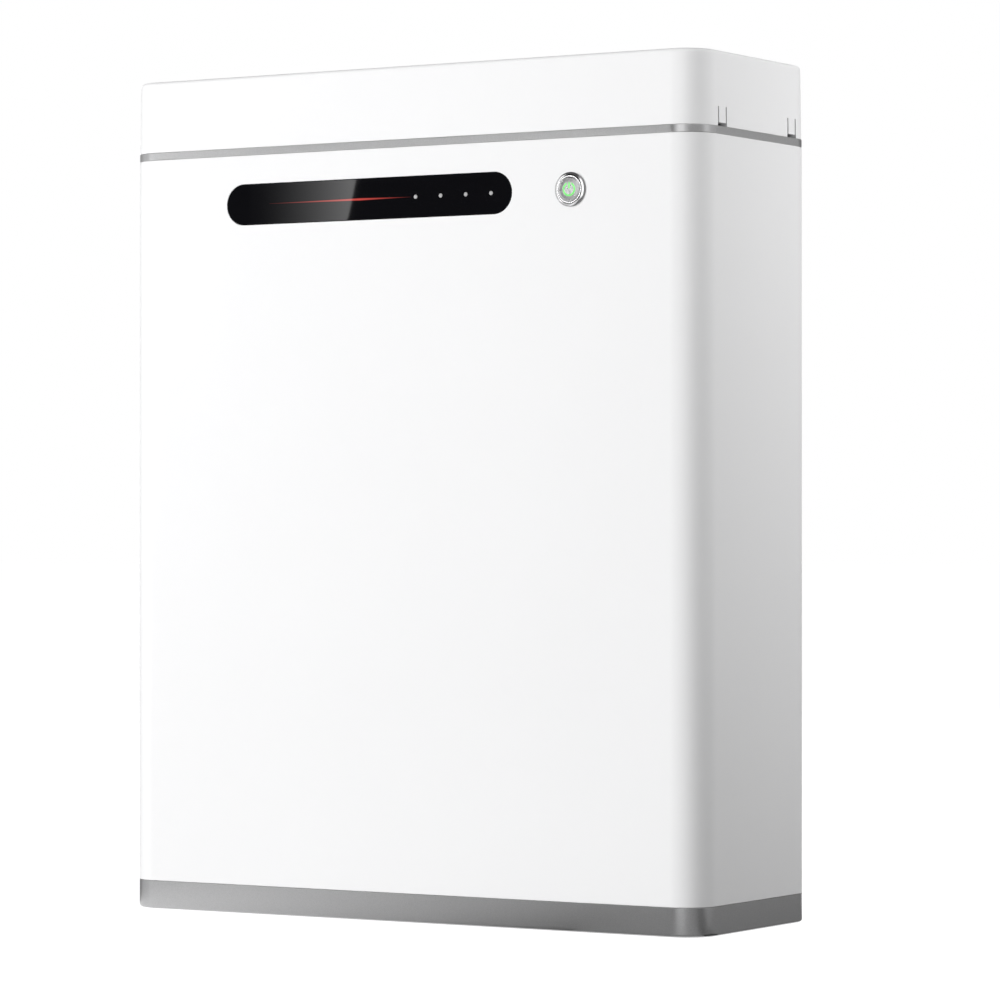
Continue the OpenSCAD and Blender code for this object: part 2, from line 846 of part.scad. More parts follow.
module bms_connectors() {
    color("#e9e7df") placed() {
        for (y = block_rows)
            box(board_x0, board_x0 + block_size, y - block_size / 2, y + block_size / 2, board_top,
                board_top + block_h);
        for (x = plug_columns)
            box(x - plug_w / 2, x + plug_w / 2, -board_half_y, -board_half_y + plug_d, board_top,
                board_top + plug_h);
    }
}

harness_y = (cell_front - terminal_t + link_front) / 2;
harness_route = [
    [harness_x, harness_y, terminal_z(1, 1) + link_w / 2 + gap], [harness_x, harness_y, shelf_z],
    [harness_x, harness_y + 1, board_top - 2], [harness_x, -board_half_y - 6, board_top + plug_h / 2],
    [harness_x, -board_half_y - gap, board_top + plug_h / 2]
];

module sense_harness() {
    color(red) placed() cable(harness_route, 1.5, [1, 0, 0]);
}

// ---- Breaker and power cables ----

module breaker_stand() {
    w = breaker_w / 2;
    color(zinc) placed() difference() {
        translate([-breaker_x, 0, 0]) slab_y(-stand_l / 2, stand_l / 2) polygon([
            [-w - stand_foot, shelf_top], [-w + plate_t, shelf_top], [-w + plate_t, breaker_z - plate_t],
            [w - plate_t, breaker_z - plate_t], [w - plate_t, shelf_top], [w + stand_foot, shelf_top],
            [w + stand_foot, shelf_top + plate_t], [w, shelf_top + plate_t], [w, breaker_z],
            [-w, breaker_z], [-w, shelf_top + plate_t], [-w - stand_foot, shelf_top + plate_t]
        ]);
        drill_down(stand_points(), shelf_top, plate_t, m4_r + m4_clear);
    }
}

module breaker_body() {
    color("#e4e4e2") placed() translate([-breaker_x, 0, 0]) difference() {
        union() {
            box(-breaker_w / 2, breaker_w / 2, -breaker_l / 2, breaker_l / 2, breaker_z,
                breaker_z + breaker_base_h);
            box(-breaker_w / 2, breaker_w / 2, -nose_l / 2, nose_l / 2, breaker_z, nose_top);
        }
        box(-hub_w / 2 - gap, hub_w / 2 + gap, -hub_r - 1.5, hub_r + 1.5, pivot_z - hub_r - 1,
            nose_top + eps);
        translate([-hub_w / 2 - toggle_pin_l - gap, 0, pivot_z]) rotate([0, 90, 0])
            cylinder(r = toggle_pin_r + running, h = hub_w + 2 * (toggle_pin_l + gap));
        box(-pole_x - bar_w / 2 - gap, -pole_x + bar_w / 2 + gap, -breaker_l / 2 - eps,
            -breaker_l / 2 + clamp_depth + gap, clamp_z - bar_t / 2 - gap, clamp_z + bar_t / 2 + gap);
        slab_y(-breaker_l / 2 - eps, -breaker_l / 2 + clamp_depth)
            translate([pole_x, clamp_z]) circle(cable_d / 2 + clamp_room);
        for (s = [-1, 1])
            slab_y(breaker_l / 2 - clamp_depth, breaker_l / 2 + eps)
                translate([s * pole_x, clamp_z]) circle(cable_d / 2 + clamp_room);
    }
}

module breaker_toggle() {
    color(black) placed() translate([-breaker_x, 0, pivot_z]) rotate([-toggle_tilt, 0, 0]) {
        translate([-hub_w / 2, 0, 0]) rotate([0, 90, 0]) cylinder(r = hub_r, h = hub_w);
        translate([-hub_w / 2 - toggle_pin_l, 0, 0]) rotate([0, 90, 0])
            cylinder(r = toggle_pin_r, h = hub_w + 2 * toggle_pin_l);
        box(-hub_w / 2, hub_w / 2, -toggle_t / 2, toggle_t / 2, 0, toggle_reach);
    }
}

cable_r = cable_d / 2;
board_clamp_z = board_top + block_h / 2;
rear_clamp_y = breaker_l / 2 - clamp_depth + gap;
front_clamp_y = -breaker_l / 2 + clamp_depth - gap;
stud_foot_z = deck_z - stud_low - gap;

module negative_cable() {
    color(black) placed() cable([
        [negative_bar_x, bar_y, negative_bar_top + gap], [negative_bar_x, bar_y, negative_bar_top + 8],
        [negative_bar_x + 4, bar_y + 11, negative_bar_top + 18],
        [-breaker_x - 4, -45, negative_bar_top + 20], [36 - breaker_x, -43, board_clamp_z + 20],
        [66 - breaker_x, -38, board_clamp_z + 4], [board_x0 - 12, block_rows[0], board_clamp_z],
        [board_x0 - gap, block_rows[0], board_clamp_z]
    ], cable_r, [0.6, -1, 0.5]);
}

module bms_cable() {
    color(black) placed() cable([
        [board_x0 - gap, block_rows[1], board_clamp_z], [board_x0 - 12, block_rows[1], board_clamp_z],
        [60 - breaker_x, -20, board_clamp_z + 16], [40 - breaker_x, -40, board_clamp_z + 44],
        [20 - breaker_x, -54, clamp_z - 20],
        [-breaker_x + pole_x, -55, clamp_z - 5], [-breaker_x + pole_x, -47, clamp_z],
        [-breaker_x + pole_x, front_clamp_y, clamp_z]
    ], cable_r, [0.3, 1, -1]);
}

module positive_lead() {
    x = stud_x + stud_pitch / 2;
    color(red) placed() cable([
        [-breaker_x - pole_x, rear_clamp_y, clamp_z], [-breaker_x - pole_x, 48, clamp_z],
        [-breaker_x - 4, 61, clamp_z - 2], [26 - breaker_x, 64, clamp_z - 10],
        [96 - breaker_x, 62, clamp_z - 14],
        [x - 16, 44, clamp_z - 12], [x - 2, 26, clamp_z - 4], [x, stud_y, stud_foot_z - 8],
        [x, stud_y, stud_foot_z]
    ], cable_r, [-1, 1, -1]);
}

module negative_lead() {
    x = stud_x - stud_pitch / 2;
    color(black) placed() cable([
        [-breaker_x + pole_x, rear_clamp_y, clamp_z], [-breaker_x + pole_x, 45, clamp_z],
        [28 - breaker_x, 52, clamp_z + 2], [52 - breaker_x, 48, clamp_z + 3], [x - 10, 34, clamp_z + 2],
        [x - 1, 23, clamp_z + 8], [x, stud_y, stud_foot_z - 6], [x, stud_y, stud_foot_z]
    ], cable_r, [-1, 1, -1]);
}

// ---- Terminals on the deck ----

module insulator(x) {
    difference() {
        union() {
            box(x - insulator_w / 2, x + insulator_w / 2, stud_y - insulator_w / 2, stud_y + insulator_w / 2,
                deck_top, deck_top + insulator_h);
            translate([x, stud_y, deck_z - bushing_l])
                cylinder(r = bushing_r, h = bushing_l + plate_t + eps);
        }
        translate([x, stud_y, deck_z - bushing_l - eps])
            cylinder(r = shank_r + running, h = bushing_l + plate_t + insulator_h + 2 * eps);
    }
}

module positive_insulator() {
    color(red) placed() insulator(stud_x + stud_pitch / 2);
}

module negative_insulator() {
    color(black) placed() insulator(stud_x - stud_pitch / 2);
}

module terminal_studs() {
    shank_l = stud_low + plate_t + insulator_h + nut_h;
    color(brass) placed() for (p = stud_points())
        translate([p.x, p.y, deck_z - stud_low]) {
            cylinder(r = shank_r, h = shank_l);
            cylinder(r = stud_d / 2, h = shank_l + stud_free);
        }
}

module earth_stud() {
    color(steel) placed() translate([earth_x, stud_y, 0]) {
        translate([0, 0, deck_z - earth_nut_h]) rotate([0, 0, 30])
            cylinder(r = 10 / sqrt(3), h = earth_nut_h, $fn = 6);
        translate([0, 0, deck_z - eps]) cylinder(r = earth_r + shoulder, h = plate_t + earth_nut_h + eps);
        translate([0, 0, deck_z - eps]) cylinder(r = earth_r, h = plate_t + earth_nut_h + earth_free + eps);
    }
}

module terminal_nuts() {
    color(brass) placed() {
        for (p = stud_points()) translate(p) {
            translate([0, 0, deck_top + insulator_h]) nut(1.6 * stud_d, nut_h, shank_r + running);
            translate([0, 0, deck_z - bushing_l - nut_h]) nut(1.6 * stud_d, nut_h, shank_r + running);
        }
        translate([earth_x, stud_y, deck_top]) nut(10, earth_nut_h, earth_r + shoulder + running);
    }
}

module comms_board() {
    color(board_green) placed()
        box(port_x - comms_w / 2, port_x + comms_w / 2, -comms_d / 2, comms_d / 2,
            deck_z - comms_drop - board_t, deck_z - comms_drop);
}

module comms_ports() {
    top = deck_top + port_proud;
    color(steel) placed() for (i = [0 : port_count - 1])
        translate([port_x + (i - (port_count - 1) / 2) * port_pitch, 0, 0]) difference() {
            box(-port_w / 2, port_w / 2, -port_d / 2, port_d / 2, deck_z - comms_drop, top);
            box(-socket_w / 2, socket_w / 2, -socket_d / 2, socket_d / 2, top - socket_deep, top + eps);
        }
}

// ---- Display ----

module display_window() {
    color(black) placed() difference() {
        union() {
            slab_y(front, rim_back)
                translate([window_x, window_z])
                    stadium(window_len - 2 * window_gap, window_h - 2 * window_gap);
            slab_y(rim_front, rim_back)
                translate([window_x, window_z])
                    stadium(window_len + 2 * window_rim, window_h + 2 * window_rim);
        }
        slab_y(front - eps, rim_back + eps) {
            dot_places() circle(dot_d / 2 + running);
            translate([line_x, window_z]) stadium(line_len + 2 * running, line_h + 2 * running);
        }
    }
}

module dot_places() {
    for (i = [-1.5 : 1.5]) translate([dots_x + i * dot_pitch, window_z]) children();
}

module display_gasket() {
    color(rubber_black) placed() slab_y(inner_front, rim_front)
        translate([window_x, window_z]) difference() {
            stadium(window_len + 2 * window_rim, window_h + 2 * window_rim);
            stadium(window_len, window_h);
        }
}

module display_bracket() {
    color("#2e3034") placed() slab_y(rim_back, display_board_y) difference() {
        translate([window_x, window_z])
            stadium(window_len + 2 * (window_rim + bracket_margin), window_h + 2 * window_rim);
        translate([window_x, window_z]) stadium(window_len - 10, window_h - 6);
        for (p = display_stud_points()) translate(p) circle(weld_stud_r + m4_clear);
    }
}

module display_board() {
    color(board_green) placed() slab_y(display_board_y, display_board_y + board_t)
        translate([window_x, window_z]) square([window_len, window_h - 4], center = true);
}

module indicator_leds() {
    color("#f2ecd0") placed() slab_y(display_board_y - led_t, display_board_y) {
        dot_places() square(led_size, center = true);
        for (x = spread(8, line_len / 2 - 2 * led_size))
            translate([line_x + x, window_z]) square(led_size, center = true);
    }
}

module charge_dots() {
    color("#afafaf") placed() slab_y(front, light_back) dot_places() circle(dot_d / 2);
}

module status_line() {
    color(red) placed() slab_y(front, light_back)
        translate([line_x, window_z]) stadium(line_len, line_h);
}

module display_cable() {
    color("#d8d8d8") placed() cable(display_route, 1.5, [1, 0, 0]);
}

// ---- Power switch ----

module at_switch() {
    placed() translate([switch_x, front, window_z]) rotate([90, 0, 0]) children();
}

// In the switch's own frame the front face is z = 0 and +z points out of the case
module switch_body() {
    bore = button_d / 2 + running;
    seat = spring_seat - spring_l;
    color(steel) at_switch() rotate_extrude() polygon([
        [bore, bezel_h], [bezel_d / 2 - 0.7, bezel_h], [bezel_d / 2, bezel_h - 0.7], [bezel_d / 2, 0],
        [barrel_d / 2, 0], [barrel_d / 2, -barrel_l], [0, -barrel_l], [0, seat],
        [collar_r + running, seat], [collar_r + running, -button_lip], [bore, -button_lip]
    ]);
}

module symbol_outline(grow) {
    difference() {
        circle(symbol_r + symbol_stroke / 2 + grow);
        circle(symbol_r - symbol_stroke / 2 - grow);
        translate([0, symbol_r]) square([3.4 - 2 * grow, 2 * symbol_r], center = true);
    }
    translate([0, symbol_r - symbol_bar / 4])
        square([symbol_stroke + 2 * grow, symbol_bar / 1.5 + 2 * grow], center = true);
}

module switch_button() {
    color(steel) at_switch() difference() {
        union() {
            translate([0, 0, spring_seat]) cylinder(r = button_d / 2, h = button_l);
            translate([0, 0, spring_seat]) cylinder(r = collar_r, h = -button_lip - spring_seat);
        }
        translate([0, 0, button_proud - symbol_deep]) linear_extrude(symbol_deep + eps)
            symbol_outline(running);
    }
}

module switch_symbol() {
    color("#39d353") at_switch() translate([0, 0, button_proud - symbol_deep])
        linear_extrude(symbol_deep) symbol_outline(0);
}

module switch_nut() {
    color(steel) at_switch() translate([0, 0, -wall_t - switch_nut_h])
        nut(nut_w, switch_nut_h, barrel_d / 2 + running);
}

module switch_spring() {
    low = spring_seat - spring_l + spring_wire + gap;
    high = spring_seat - spring_wire - gap;
    rounds = 12;
    coil = [
        for (i = [0 : spring_turns * rounds])
            [
                spring_r * cos(360 * i / rounds), spring_r * sin(360 * i / rounds),
                low + (high - low) * i / (spring_turns * rounds)
            ]
    ];
    color(steel) at_switch() cable(coil, spring_wire, [0, 0, 1], 1);
}

// ---- Lid ----

// A block with the lid's lean and rounded top edge, smaller all round by inset
module lid_block(inset, z0, z1) {
    hull() {
        lid_layer(inset, z0);
        for (a = [0 : 22.5 : 90])
            lid_layer(inset + lid_lean + lid_edge_r * (1 - cos(a)), z1 - lid_edge_r * (1 - sin(a)) - layer_t);
    }
}

layer_t = 0.005;

module lid_layer(inset, z) {
    translate([0, 0, z]) linear_extrude(layer_t) outline(inset, $fn = 32);
}

module top_lid() {
    color(white) placed() difference() {
        union() {
            difference() {
                lid_block(lid_inset, band_z1, body_h);
                lid_block(lid_inset + lid_wall, band_z1 - eps, body_h - lid_wall);
            }
            translate([0, 0, ledge_top + 2 * gap])
                linear_extrude(band_z1 + lip_up - ledge_top - 2 * gap) ring(lip_in, lip_t);
            translate([0, 0, band_z1 + gap]) linear_extrude(lip_up - gap) ring(lip_in - 1, lip_t + 1);
            lid_ribs();
            for (s = [-1, 1], y = [-1, 1]) scale_x(s)
                box(body_w / 2 - deck_inset + 0.2, body_w / 2 - lid_inset - lid_wall / 2,
                    y * tongue_spread / 2 - barb_w / 2, y * tongue_spread / 2 + barb_w / 2,
                    band_z1 + barb_z, band_z1 + barb_z + barb_h);
        }
        for (s = [-1, 1], y = [-1, 1]) scale_x(s) translate([0, y * tongue_spread / 2, 0]) tongue_cut();
        slab_y(rear - lid_wall - 10, rear + eps)
            translate([stud_x, outlet_z]) stadium(outlet_len, outlet_h);
    }
}

outlet_z = band_z1 + 21;

// The slot on each side of a snap tongue, and the gap under it
module tongue_cut() {
    x0 = body_w / 2 - lip_in - lip_t - eps;
    x1 = body_w / 2 + eps;
    z0 = ledge_top;
    for (s = [-1, 1])
        translate([0, s * (tongue_w + slot_w) / 2, 0])
            box(x0, x1, -slot_w / 2, slot_w / 2, z0, band_z1 + tongue_h);
    box(x0, x1, -tongue_w / 2 - slot_w / 2, tongue_w / 2 + slot_w / 2, z0, band_z1 + tongue_gap);
}

// Stiffening ribs under the lid's top
module lid_ribs() {
    rib_h = 5;
    rib_t = 1.8;
    side = body_w / 2 - lid_inset - lid_wall - lid_lean;
    deep = body_d / 2 - lid_inset - lid_wall - lid_lean;
    for (x = spread(5, side * 0.8))
        box(x - rib_t / 2, x + rib_t / 2, -deep + lid_edge_r, deep - lid_edge_r, body_h - lid_wall - rib_h,
            body_h - lid_wall / 2);
    for (y = [-deep / 2, deep / 2])
        box(-side + lid_edge_r, side - lid_edge_r, y - rib_t / 2, y + rib_t / 2, body_h - lid_wall - rib_h,
            body_h - lid_wall / 2);
}

module cable_grommet() {
    flange = 3;
    flange_t = 1.5;
    bead = 2.5;
    y_out = rear - lid_inset;
    y_in = rear - lid_inset - lid_lean - lid_wall;
    color(rubber_black) placed() translate([stud_x, 0, 0]) difference() {
        union() {
            slab_y(y_in - flange_t, y_out + flange_t)
                translate([0, outlet_z]) stadium(outlet_len - 2 * gap, outlet_h - 2 * gap);
            for (y = [y_in - flange_t, y_out])
                slab_y(y, y + flange_t)
                    translate([0, outlet_z]) stadium(outlet_len + 2 * flange, outlet_h + 2 * flange);
        }
        slab_y(y_in - flange_t - eps, y_out + flange_t + eps)
            translate([0, outlet_z]) stadium(outlet_len - 2 * bead, outlet_h - 2 * bead);
    }
}

// ---- Wall mounting ----

module hanger_rail() {
    color(zinc) placed() difference() {
        union() {
            box(-rail_w / 2, rail_w / 2, rear, rear + hook_t, rail_z - rail_down, rail_z + rail_up);
            box(-rail_w / 2, rail_w / 2, rear, rear + 2 * hook_t + hook_out, rail_z - hook_t, rail_z);
            box(-rail_w / 2, rail_w / 2, rear + hook_t + hook_out, rear + 2 * hook_t + hook_out,
                rail_z - hook_t - hook_h, rail_z);
        }
        drill_back(rail_points(), rear, rear + hook_t, rail_screw_r + m4_clear);
    }
}

module rail_screws() {
    color(steel) placed() for (p = rail_points())
        translate([p.x, rear + hook_t, p.y]) rotate([-90, 0, 0])
            screw(rail_screw_r, rail_head_r, rail_head_h, hook_t + wall_t + collar_h + 1);
}

module wall_spacers() {
    z = open_z0 + 30;
    color(rubber_black) placed() for (s = [-1, 1]) scale_x(s)
        box(bracket_w / 2 - spacer_w, bracket_w / 2, rear, rear + hang_gap, z, z + spacer_h);
}

module wall_bracket() {
    low_z = upper_hole_z - hole_pitch_z - bracket_edge;
    high_z = upper_hole_z + bracket_edge;
    lip_y = rear + hook_t + (hook_out - hook_t) / 2;
    color(zinc) placed() difference() {
        union() {
            box(-bracket_w / 2, bracket_w / 2, bracket_plate_y, bracket_plate_y + hook_t, low_z, high_z);
            box(-lip_w / 2, lip_w / 2, lip_y, bracket_plate_y + hook_t, bracket_lip_z,
                bracket_lip_z + hook_t);
            box(-lip_w / 2, lip_w / 2, lip_y, lip_y + hook_t, bracket_lip_z, rail_z - hook_t);
        }
        drill_back(
            [for (x = [-1, 1], z = [0, hole_pitch_z]) [x * hole_pitch_x / 2, upper_hole_z - z]],
            bracket_plate_y, bracket_plate_y + hook_t, hole_d / 2
        );
    }
}

body_shell();
back_panel();
panel_gasket();
case_screws();
base_tray();
base_screws();
chassis_floor();
trim_band();
terminal_deck();
deck_gasket();
lid_catches();
hanger_rail();
rail_screws();
wall_spacers();
battery_cells();
cell_terminals();
cell_busbars();
cell_spacers();
cell_pads();
end_plates();
module_screws();
busbar_cover();
pack_busbars();
bms_shelf();
bms_board();
bms_standoffs();
bms_mosfets();
bms_heatsink();
bms_connectors();
sense_harness();
breaker_stand();
breaker_body();
breaker_toggle();
negative_cable();
bms_cable();
positive_lead();
negative_lead();
positive_insulator();
negative_insulator();
terminal_studs();
earth_stud();
terminal_nuts();
comms_board();
comms_ports();
display_window();
display_gasket();
display_bracket();
display_board();
indicator_leds();
charge_dots();
status_line();
display_cable();
switch_body();
switch_button();
switch_symbol();
switch_nut();
switch_spring();
top_lid();
cable_grommet();
wall_bracket();
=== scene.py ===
"""Finishes the wall battery unit for display: its visible pieces, materials, studio and camera.

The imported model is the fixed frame. Each sub-assembly is a class that replaces the plain solids it
owns with finished pieces, in metres and in the frame's own axes: X to the right, Y towards the wall,
Z up. Solids that are already right keep their mesh and only take a material.
"""

import json
import logging
from collections.abc import Callable, Mapping, Sequence
from dataclasses import dataclass
from enum import Enum
from math import asin, cos, pi, radians, sin, tan, tau
from typing import Any

import bmesh
import bpy
from bpy.types import Material, Object
from mathutils import Matrix, Vector


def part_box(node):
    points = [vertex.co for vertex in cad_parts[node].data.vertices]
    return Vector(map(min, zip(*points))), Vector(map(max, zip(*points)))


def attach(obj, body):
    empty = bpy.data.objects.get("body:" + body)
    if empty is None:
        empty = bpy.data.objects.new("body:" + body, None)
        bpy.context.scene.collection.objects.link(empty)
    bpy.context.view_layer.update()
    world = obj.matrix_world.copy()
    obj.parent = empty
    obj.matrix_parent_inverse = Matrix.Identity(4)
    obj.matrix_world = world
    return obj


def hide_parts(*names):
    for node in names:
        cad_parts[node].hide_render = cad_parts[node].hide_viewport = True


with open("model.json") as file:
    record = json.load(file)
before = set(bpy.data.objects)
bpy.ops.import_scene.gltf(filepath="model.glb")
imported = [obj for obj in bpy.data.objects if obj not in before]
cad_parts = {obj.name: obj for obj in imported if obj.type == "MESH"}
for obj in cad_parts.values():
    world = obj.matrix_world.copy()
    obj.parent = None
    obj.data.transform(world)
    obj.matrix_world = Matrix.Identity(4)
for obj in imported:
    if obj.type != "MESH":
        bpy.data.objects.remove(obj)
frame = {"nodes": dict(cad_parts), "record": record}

LOG = logging.getLogger("wall_battery")
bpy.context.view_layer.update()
RECORD = frame["record"]
BODY_OF = {node: body for body, nodes in RECORD["behaviour"]["bodies"].items() for node in nodes}
SLOT_OF = {part["node"]: part["material_slot"] for part in RECORD["subparts"]}
MM = 0.001
Colour = tuple[float, float, float]
Point2 = tuple[float, float]
Point3 = tuple[float, float, float]
Places = Sequence[Sequence[float]]
Rings = list[list[Vector]]


# ---- Node graphs ----


def operator(kind: str, reflected: bool = False) -> Callable[["Socket", Any], "Socket"]:
    """Makes one of Socket's operators.

    Args:
        kind: The operation of the Math node that it adds.
        reflected: Whether the other value comes first.

    Returns:
        The method.
    """

    def method(self: "Socket", other: Any) -> "Socket":
        """Adds a Math node over this socket and another value."""
        return self.math(kind, *((other, self) if reflected else (self, other)))

    return method


class Socket:
    """An output socket that takes part in Python arithmetic by adding Math nodes."""

    __add__, __radd__ = operator("ADD"), operator("ADD", True)
    __sub__, __rsub__ = operator("SUBTRACT"), operator("SUBTRACT", True)
    __mul__, __rmul__ = operator("MULTIPLY"), operator("MULTIPLY", True)
    __truediv__ = operator("DIVIDE")
    __pow__ = operator("POWER")
    __lt__ = operator("LESS_THAN")

    def __init__(self, graph: "Graph", socket: bpy.types.NodeSocket | None) -> None:
        """Wraps socket, which belongs to graph."""
        self.graph = graph
        self.socket = socket

    def math(self, operation: str, *values: Any) -> "Socket":
        """Adds one Math node over the values."""
        return self.graph.node("ShaderNodeMath", {"operation": operation}, dict(enumerate(values)))

    def __abs__(self) -> "Socket":
        """The absolute value."""
        return self.math("ABSOLUTE", self)

    def sine(self) -> "Socket":
        """Its sine."""
        return self.math("SINE", self)

    def least(self, other: Any) -> "Socket":
        """The smaller of self and other."""
        return self.math("MINIMUM", self, other)

    def clamped(self) -> "Socket":
        """The value kept between 0 and 1."""
        return self.graph.node("ShaderNodeClamp", {}, {"Value": self})


class Graph:
    """Builds a node tree, for a material, a world or a Geometry Nodes group."""

    def __init__(self, tree: bpy.types.NodeTree) -> None:
        """Works on tree, which is emptied first."""
        self.tree = tree
        tree.nodes.clear()

    def node(
        self,
        kind: str,
        settings: Mapping[str, Any] | None = None,
        inputs: Mapping[str | int, Any] | None = None,
        output: str | int = 0,
    ) -> Socket:
        """Adds a node, sets it up and links it.

        Args:
            kind: The node's type name.
            settings: Properties of the node, set before its sockets. "stops" holds a ramp's stops.
            inputs: Socket name or number to a Socket, an object, a number or a tuple.
            output: The name or number of the output to return.

        Returns:
            The chosen output.
        """
        made = self.tree.nodes.new(kind)
        for name, value in (settings or {}).items():
            if name == "stops":
                self._set_stops(made.color_ramp, value)
            else:
                setattr(made, name, value)
        for name, value in (inputs or {}).items():
            self.feed(made.inputs[name], value)
        outputs = [s for s in made.outputs if s.enabled]
        if not outputs:
            return Socket(self, None)
        return Socket(self, made.outputs[output] if isinstance(output, str) else outputs[output])

    def feed(self, target: bpy.types.NodeSocket, value: Any) -> None:
        """Links a Socket to target, or sets target's own value.

        Args:
            target: The input.
            value: A Socket to link, or the value to set.
        """
        if isinstance(value, Socket):
            self.tree.links.new(value.socket, target)
        elif isinstance(value, tuple) and len(value) == 3 and target.type == "RGBA":
            target.default_value = (*value, 1.0)
        else:
            target.default_value = value

    @staticmethod
    def _set_stops(ramp: bpy.types.ColorRamp, stops: Sequence[tuple[float, Colour]]) -> None:
        """Gives a colour ramp its stops.

        Args:
            ramp: The ramp.
            stops: Each stop's position and colour.
        """
        while len(ramp.elements) < len(stops):
            ramp.elements.new(1.0)
        for element, (position, colour) in zip(ramp.elements, stops):
            element.position = position
            element.color = (*colour, 1.0)


class Recipe(Graph):
    """A material under construction, with the patterns that the finishes share."""

    def __init__(self, name: str) -> None:
        """Makes an empty material of that name.

        Args:
            name: The material's name.
        """
        self.material = bpy.data.materials.new(name)
        self.material.use_nodes = True
        super().__init__(self.material.node_tree)
        self.place = self.node("ShaderNodeTexCoord", output="Object")

    def moved(self, centre: Sequence[float] = (0, 0, 0), scale: Sequence[float] = (1, 1, 1)) -> Socket:
        """Object coordinates, measured from centre and scaled.

        Args:
            centre: The point that becomes the origin, in metres.
            scale: A factor for each axis.

        Returns:
            The coordinates.
        """
        shift = tuple(-c * s for c, s in zip(centre, scale))
        inputs = {"Vector": self.place, "Location": shift, "Scale": tuple(scale)}
        return self.node("ShaderNodeMapping", {}, inputs)

    def axis(self, name: str, at: Socket | None = None) -> Socket:
        """One axis of the coordinates: "X", "Y" or "Z"."""
        return self.node("ShaderNodeSeparateXYZ", {}, {"Vector": at or self.place}, name)

    def noise(self, scale: float, detail: float = 2.0, at: Socket | None = None) -> Socket:
        """Smooth noise from 0 to 1, with scale features to the metre."""
        inputs = {"Vector": at or self.place, "Scale": scale, "Detail": detail}
        return self.node("ShaderNodeTexNoise", {}, inputs)

    def mix(self, factor: Any, low: Any, high: Any) -> Socket:
        """A colour between low and high."""
        return self.node("ShaderNodeMix", {"data_type": "RGBA"}, {0: factor, 6: low, 7: high})

    def bump(self, height: Socket, distance: float, strength: float = 1.0) -> Socket:
        """A normal from a height pattern that is distance metres deep."""
        inputs = {"Height": height, "Distance": distance, "Strength": strength}
        return self.node("ShaderNodeBump", {}, inputs)

    def surface(self, **sockets: Any) -> Material:
        """Ends the material in one Principled BSDF.

        Args:
            **sockets: The shader's sockets, with _ for each space in a name.

        Returns:
            The finished material.
        """
        inputs = {name.replace("_", " "): value for name, value in sockets.items()}
        shader = self.node("ShaderNodeBsdfPrincipled", {}, inputs)
        self.node("ShaderNodeOutputMaterial", {}, {"Surface": shader})
        return self.material

    def radius(self, centre: Sequence[float], flat: Sequence[float]) -> Socket:
        """The distance in metres from an axis through centre.

        Args:
            centre: A point on the axis, in metres.
            flat: 0 for the direction that the axis runs along, and 1 for the other two.

        Returns:
            The distance.
        """
        away = self.moved(centre, flat)
        return self.node("ShaderNodeVectorMath", {"operation": "LENGTH"}, {0: away}, "Value")

    def cells(self, scale: float, output: str = "Color", at: Socket | None = None) -> Socket:
        """Voronoi cells, with scale of them to the metre."""
        return self.node("ShaderNodeTexVoronoi", {}, {"Vector": at or self.place, "Scale": scale}, output)

    def grey(self, colour: Socket) -> Socket:
        """The brightness of a colour."""
        return self.node("ShaderNodeRGBToBW", {}, {"Color": colour})


# ---- Finishes ----


def shade(colour: Colour, factor: float) -> Colour:
    """The colour made lighter or darker by factor."""
    return tuple(min(1.0, channel * factor) for channel in colour)


@dataclass(frozen=True)
class Finish:
    """A surface finish: its colour, its gloss, and in each subclass the mark of how it is made."""

    name: str
    colour: Colour
    rough: float = 0.5

    def paint(self, recipe: Recipe) -> Material:
        """Builds the finish in recipe."""
        raise NotImplementedError

    def tinted(self, recipe: Recipe, factor: Socket, low: float, high: float) -> Socket:
        """The finish's colour, made darker or lighter from low to high by factor."""
        return recipe.mix(factor, shade(self.colour, low), shade(self.colour, high))

    def material(self) -> Material:
        """The finish's material, made when it is first asked for."""
        label = f"finish_{self.name}"
        return bpy.data.materials.get(label) or self.paint(Recipe(label))


@dataclass(frozen=True)
class Coated(Finish):
    """Powder coat or textured plastic: a fine peel that spreads the shine."""

    peel: float = 700.0
    depth: float = 0.006
    tint: float = 0.012

    def paint(self, recipe: Recipe) -> Material:
        """Fine peel, with a faint cloud in the colour and in the gloss.

        Args:
            recipe: The empty material to fill.

        Returns:
            The material.
        """
        cloud = recipe.noise(9.0, 3.0)
        speck = recipe.noise(self.peel * 2.2, 1.0)
        height = recipe.noise(self.peel, 2.0) * 0.75 + speck * 0.25
        return recipe.surface(
            Base_Color=self.tinted(recipe, cloud, 1 - self.tint, 1 + self.tint),
            Roughness=self.rough - 0.04 + cloud * 0.05 + speck * 0.03,
            Normal=recipe.bump(height, self.depth * MM),
        )


@dataclass(frozen=True)
class Lacquer(Finish):
    """Metallic lacquer: flakes under a smooth coat."""

    metal: float = 0.85

    def paint(self, recipe: Recipe) -> Material:
        """Flakes that differ in brightness and lie at slightly different angles.

        Args:
            recipe: The empty material to fill.

        Returns:
            The material.
        """
        flakes = recipe.grey(recipe.cells(3200.0))
        cloud = recipe.noise(14.0)
        return recipe.surface(
            Base_Color=self.tinted(recipe, flakes, 0.9, 1.1),
            Metallic=self.metal,
            Roughness=self.rough - 0.05 + flakes * 0.06 + cloud * 0.05,
            Normal=recipe.bump(flakes, 0.002 * MM),
        )


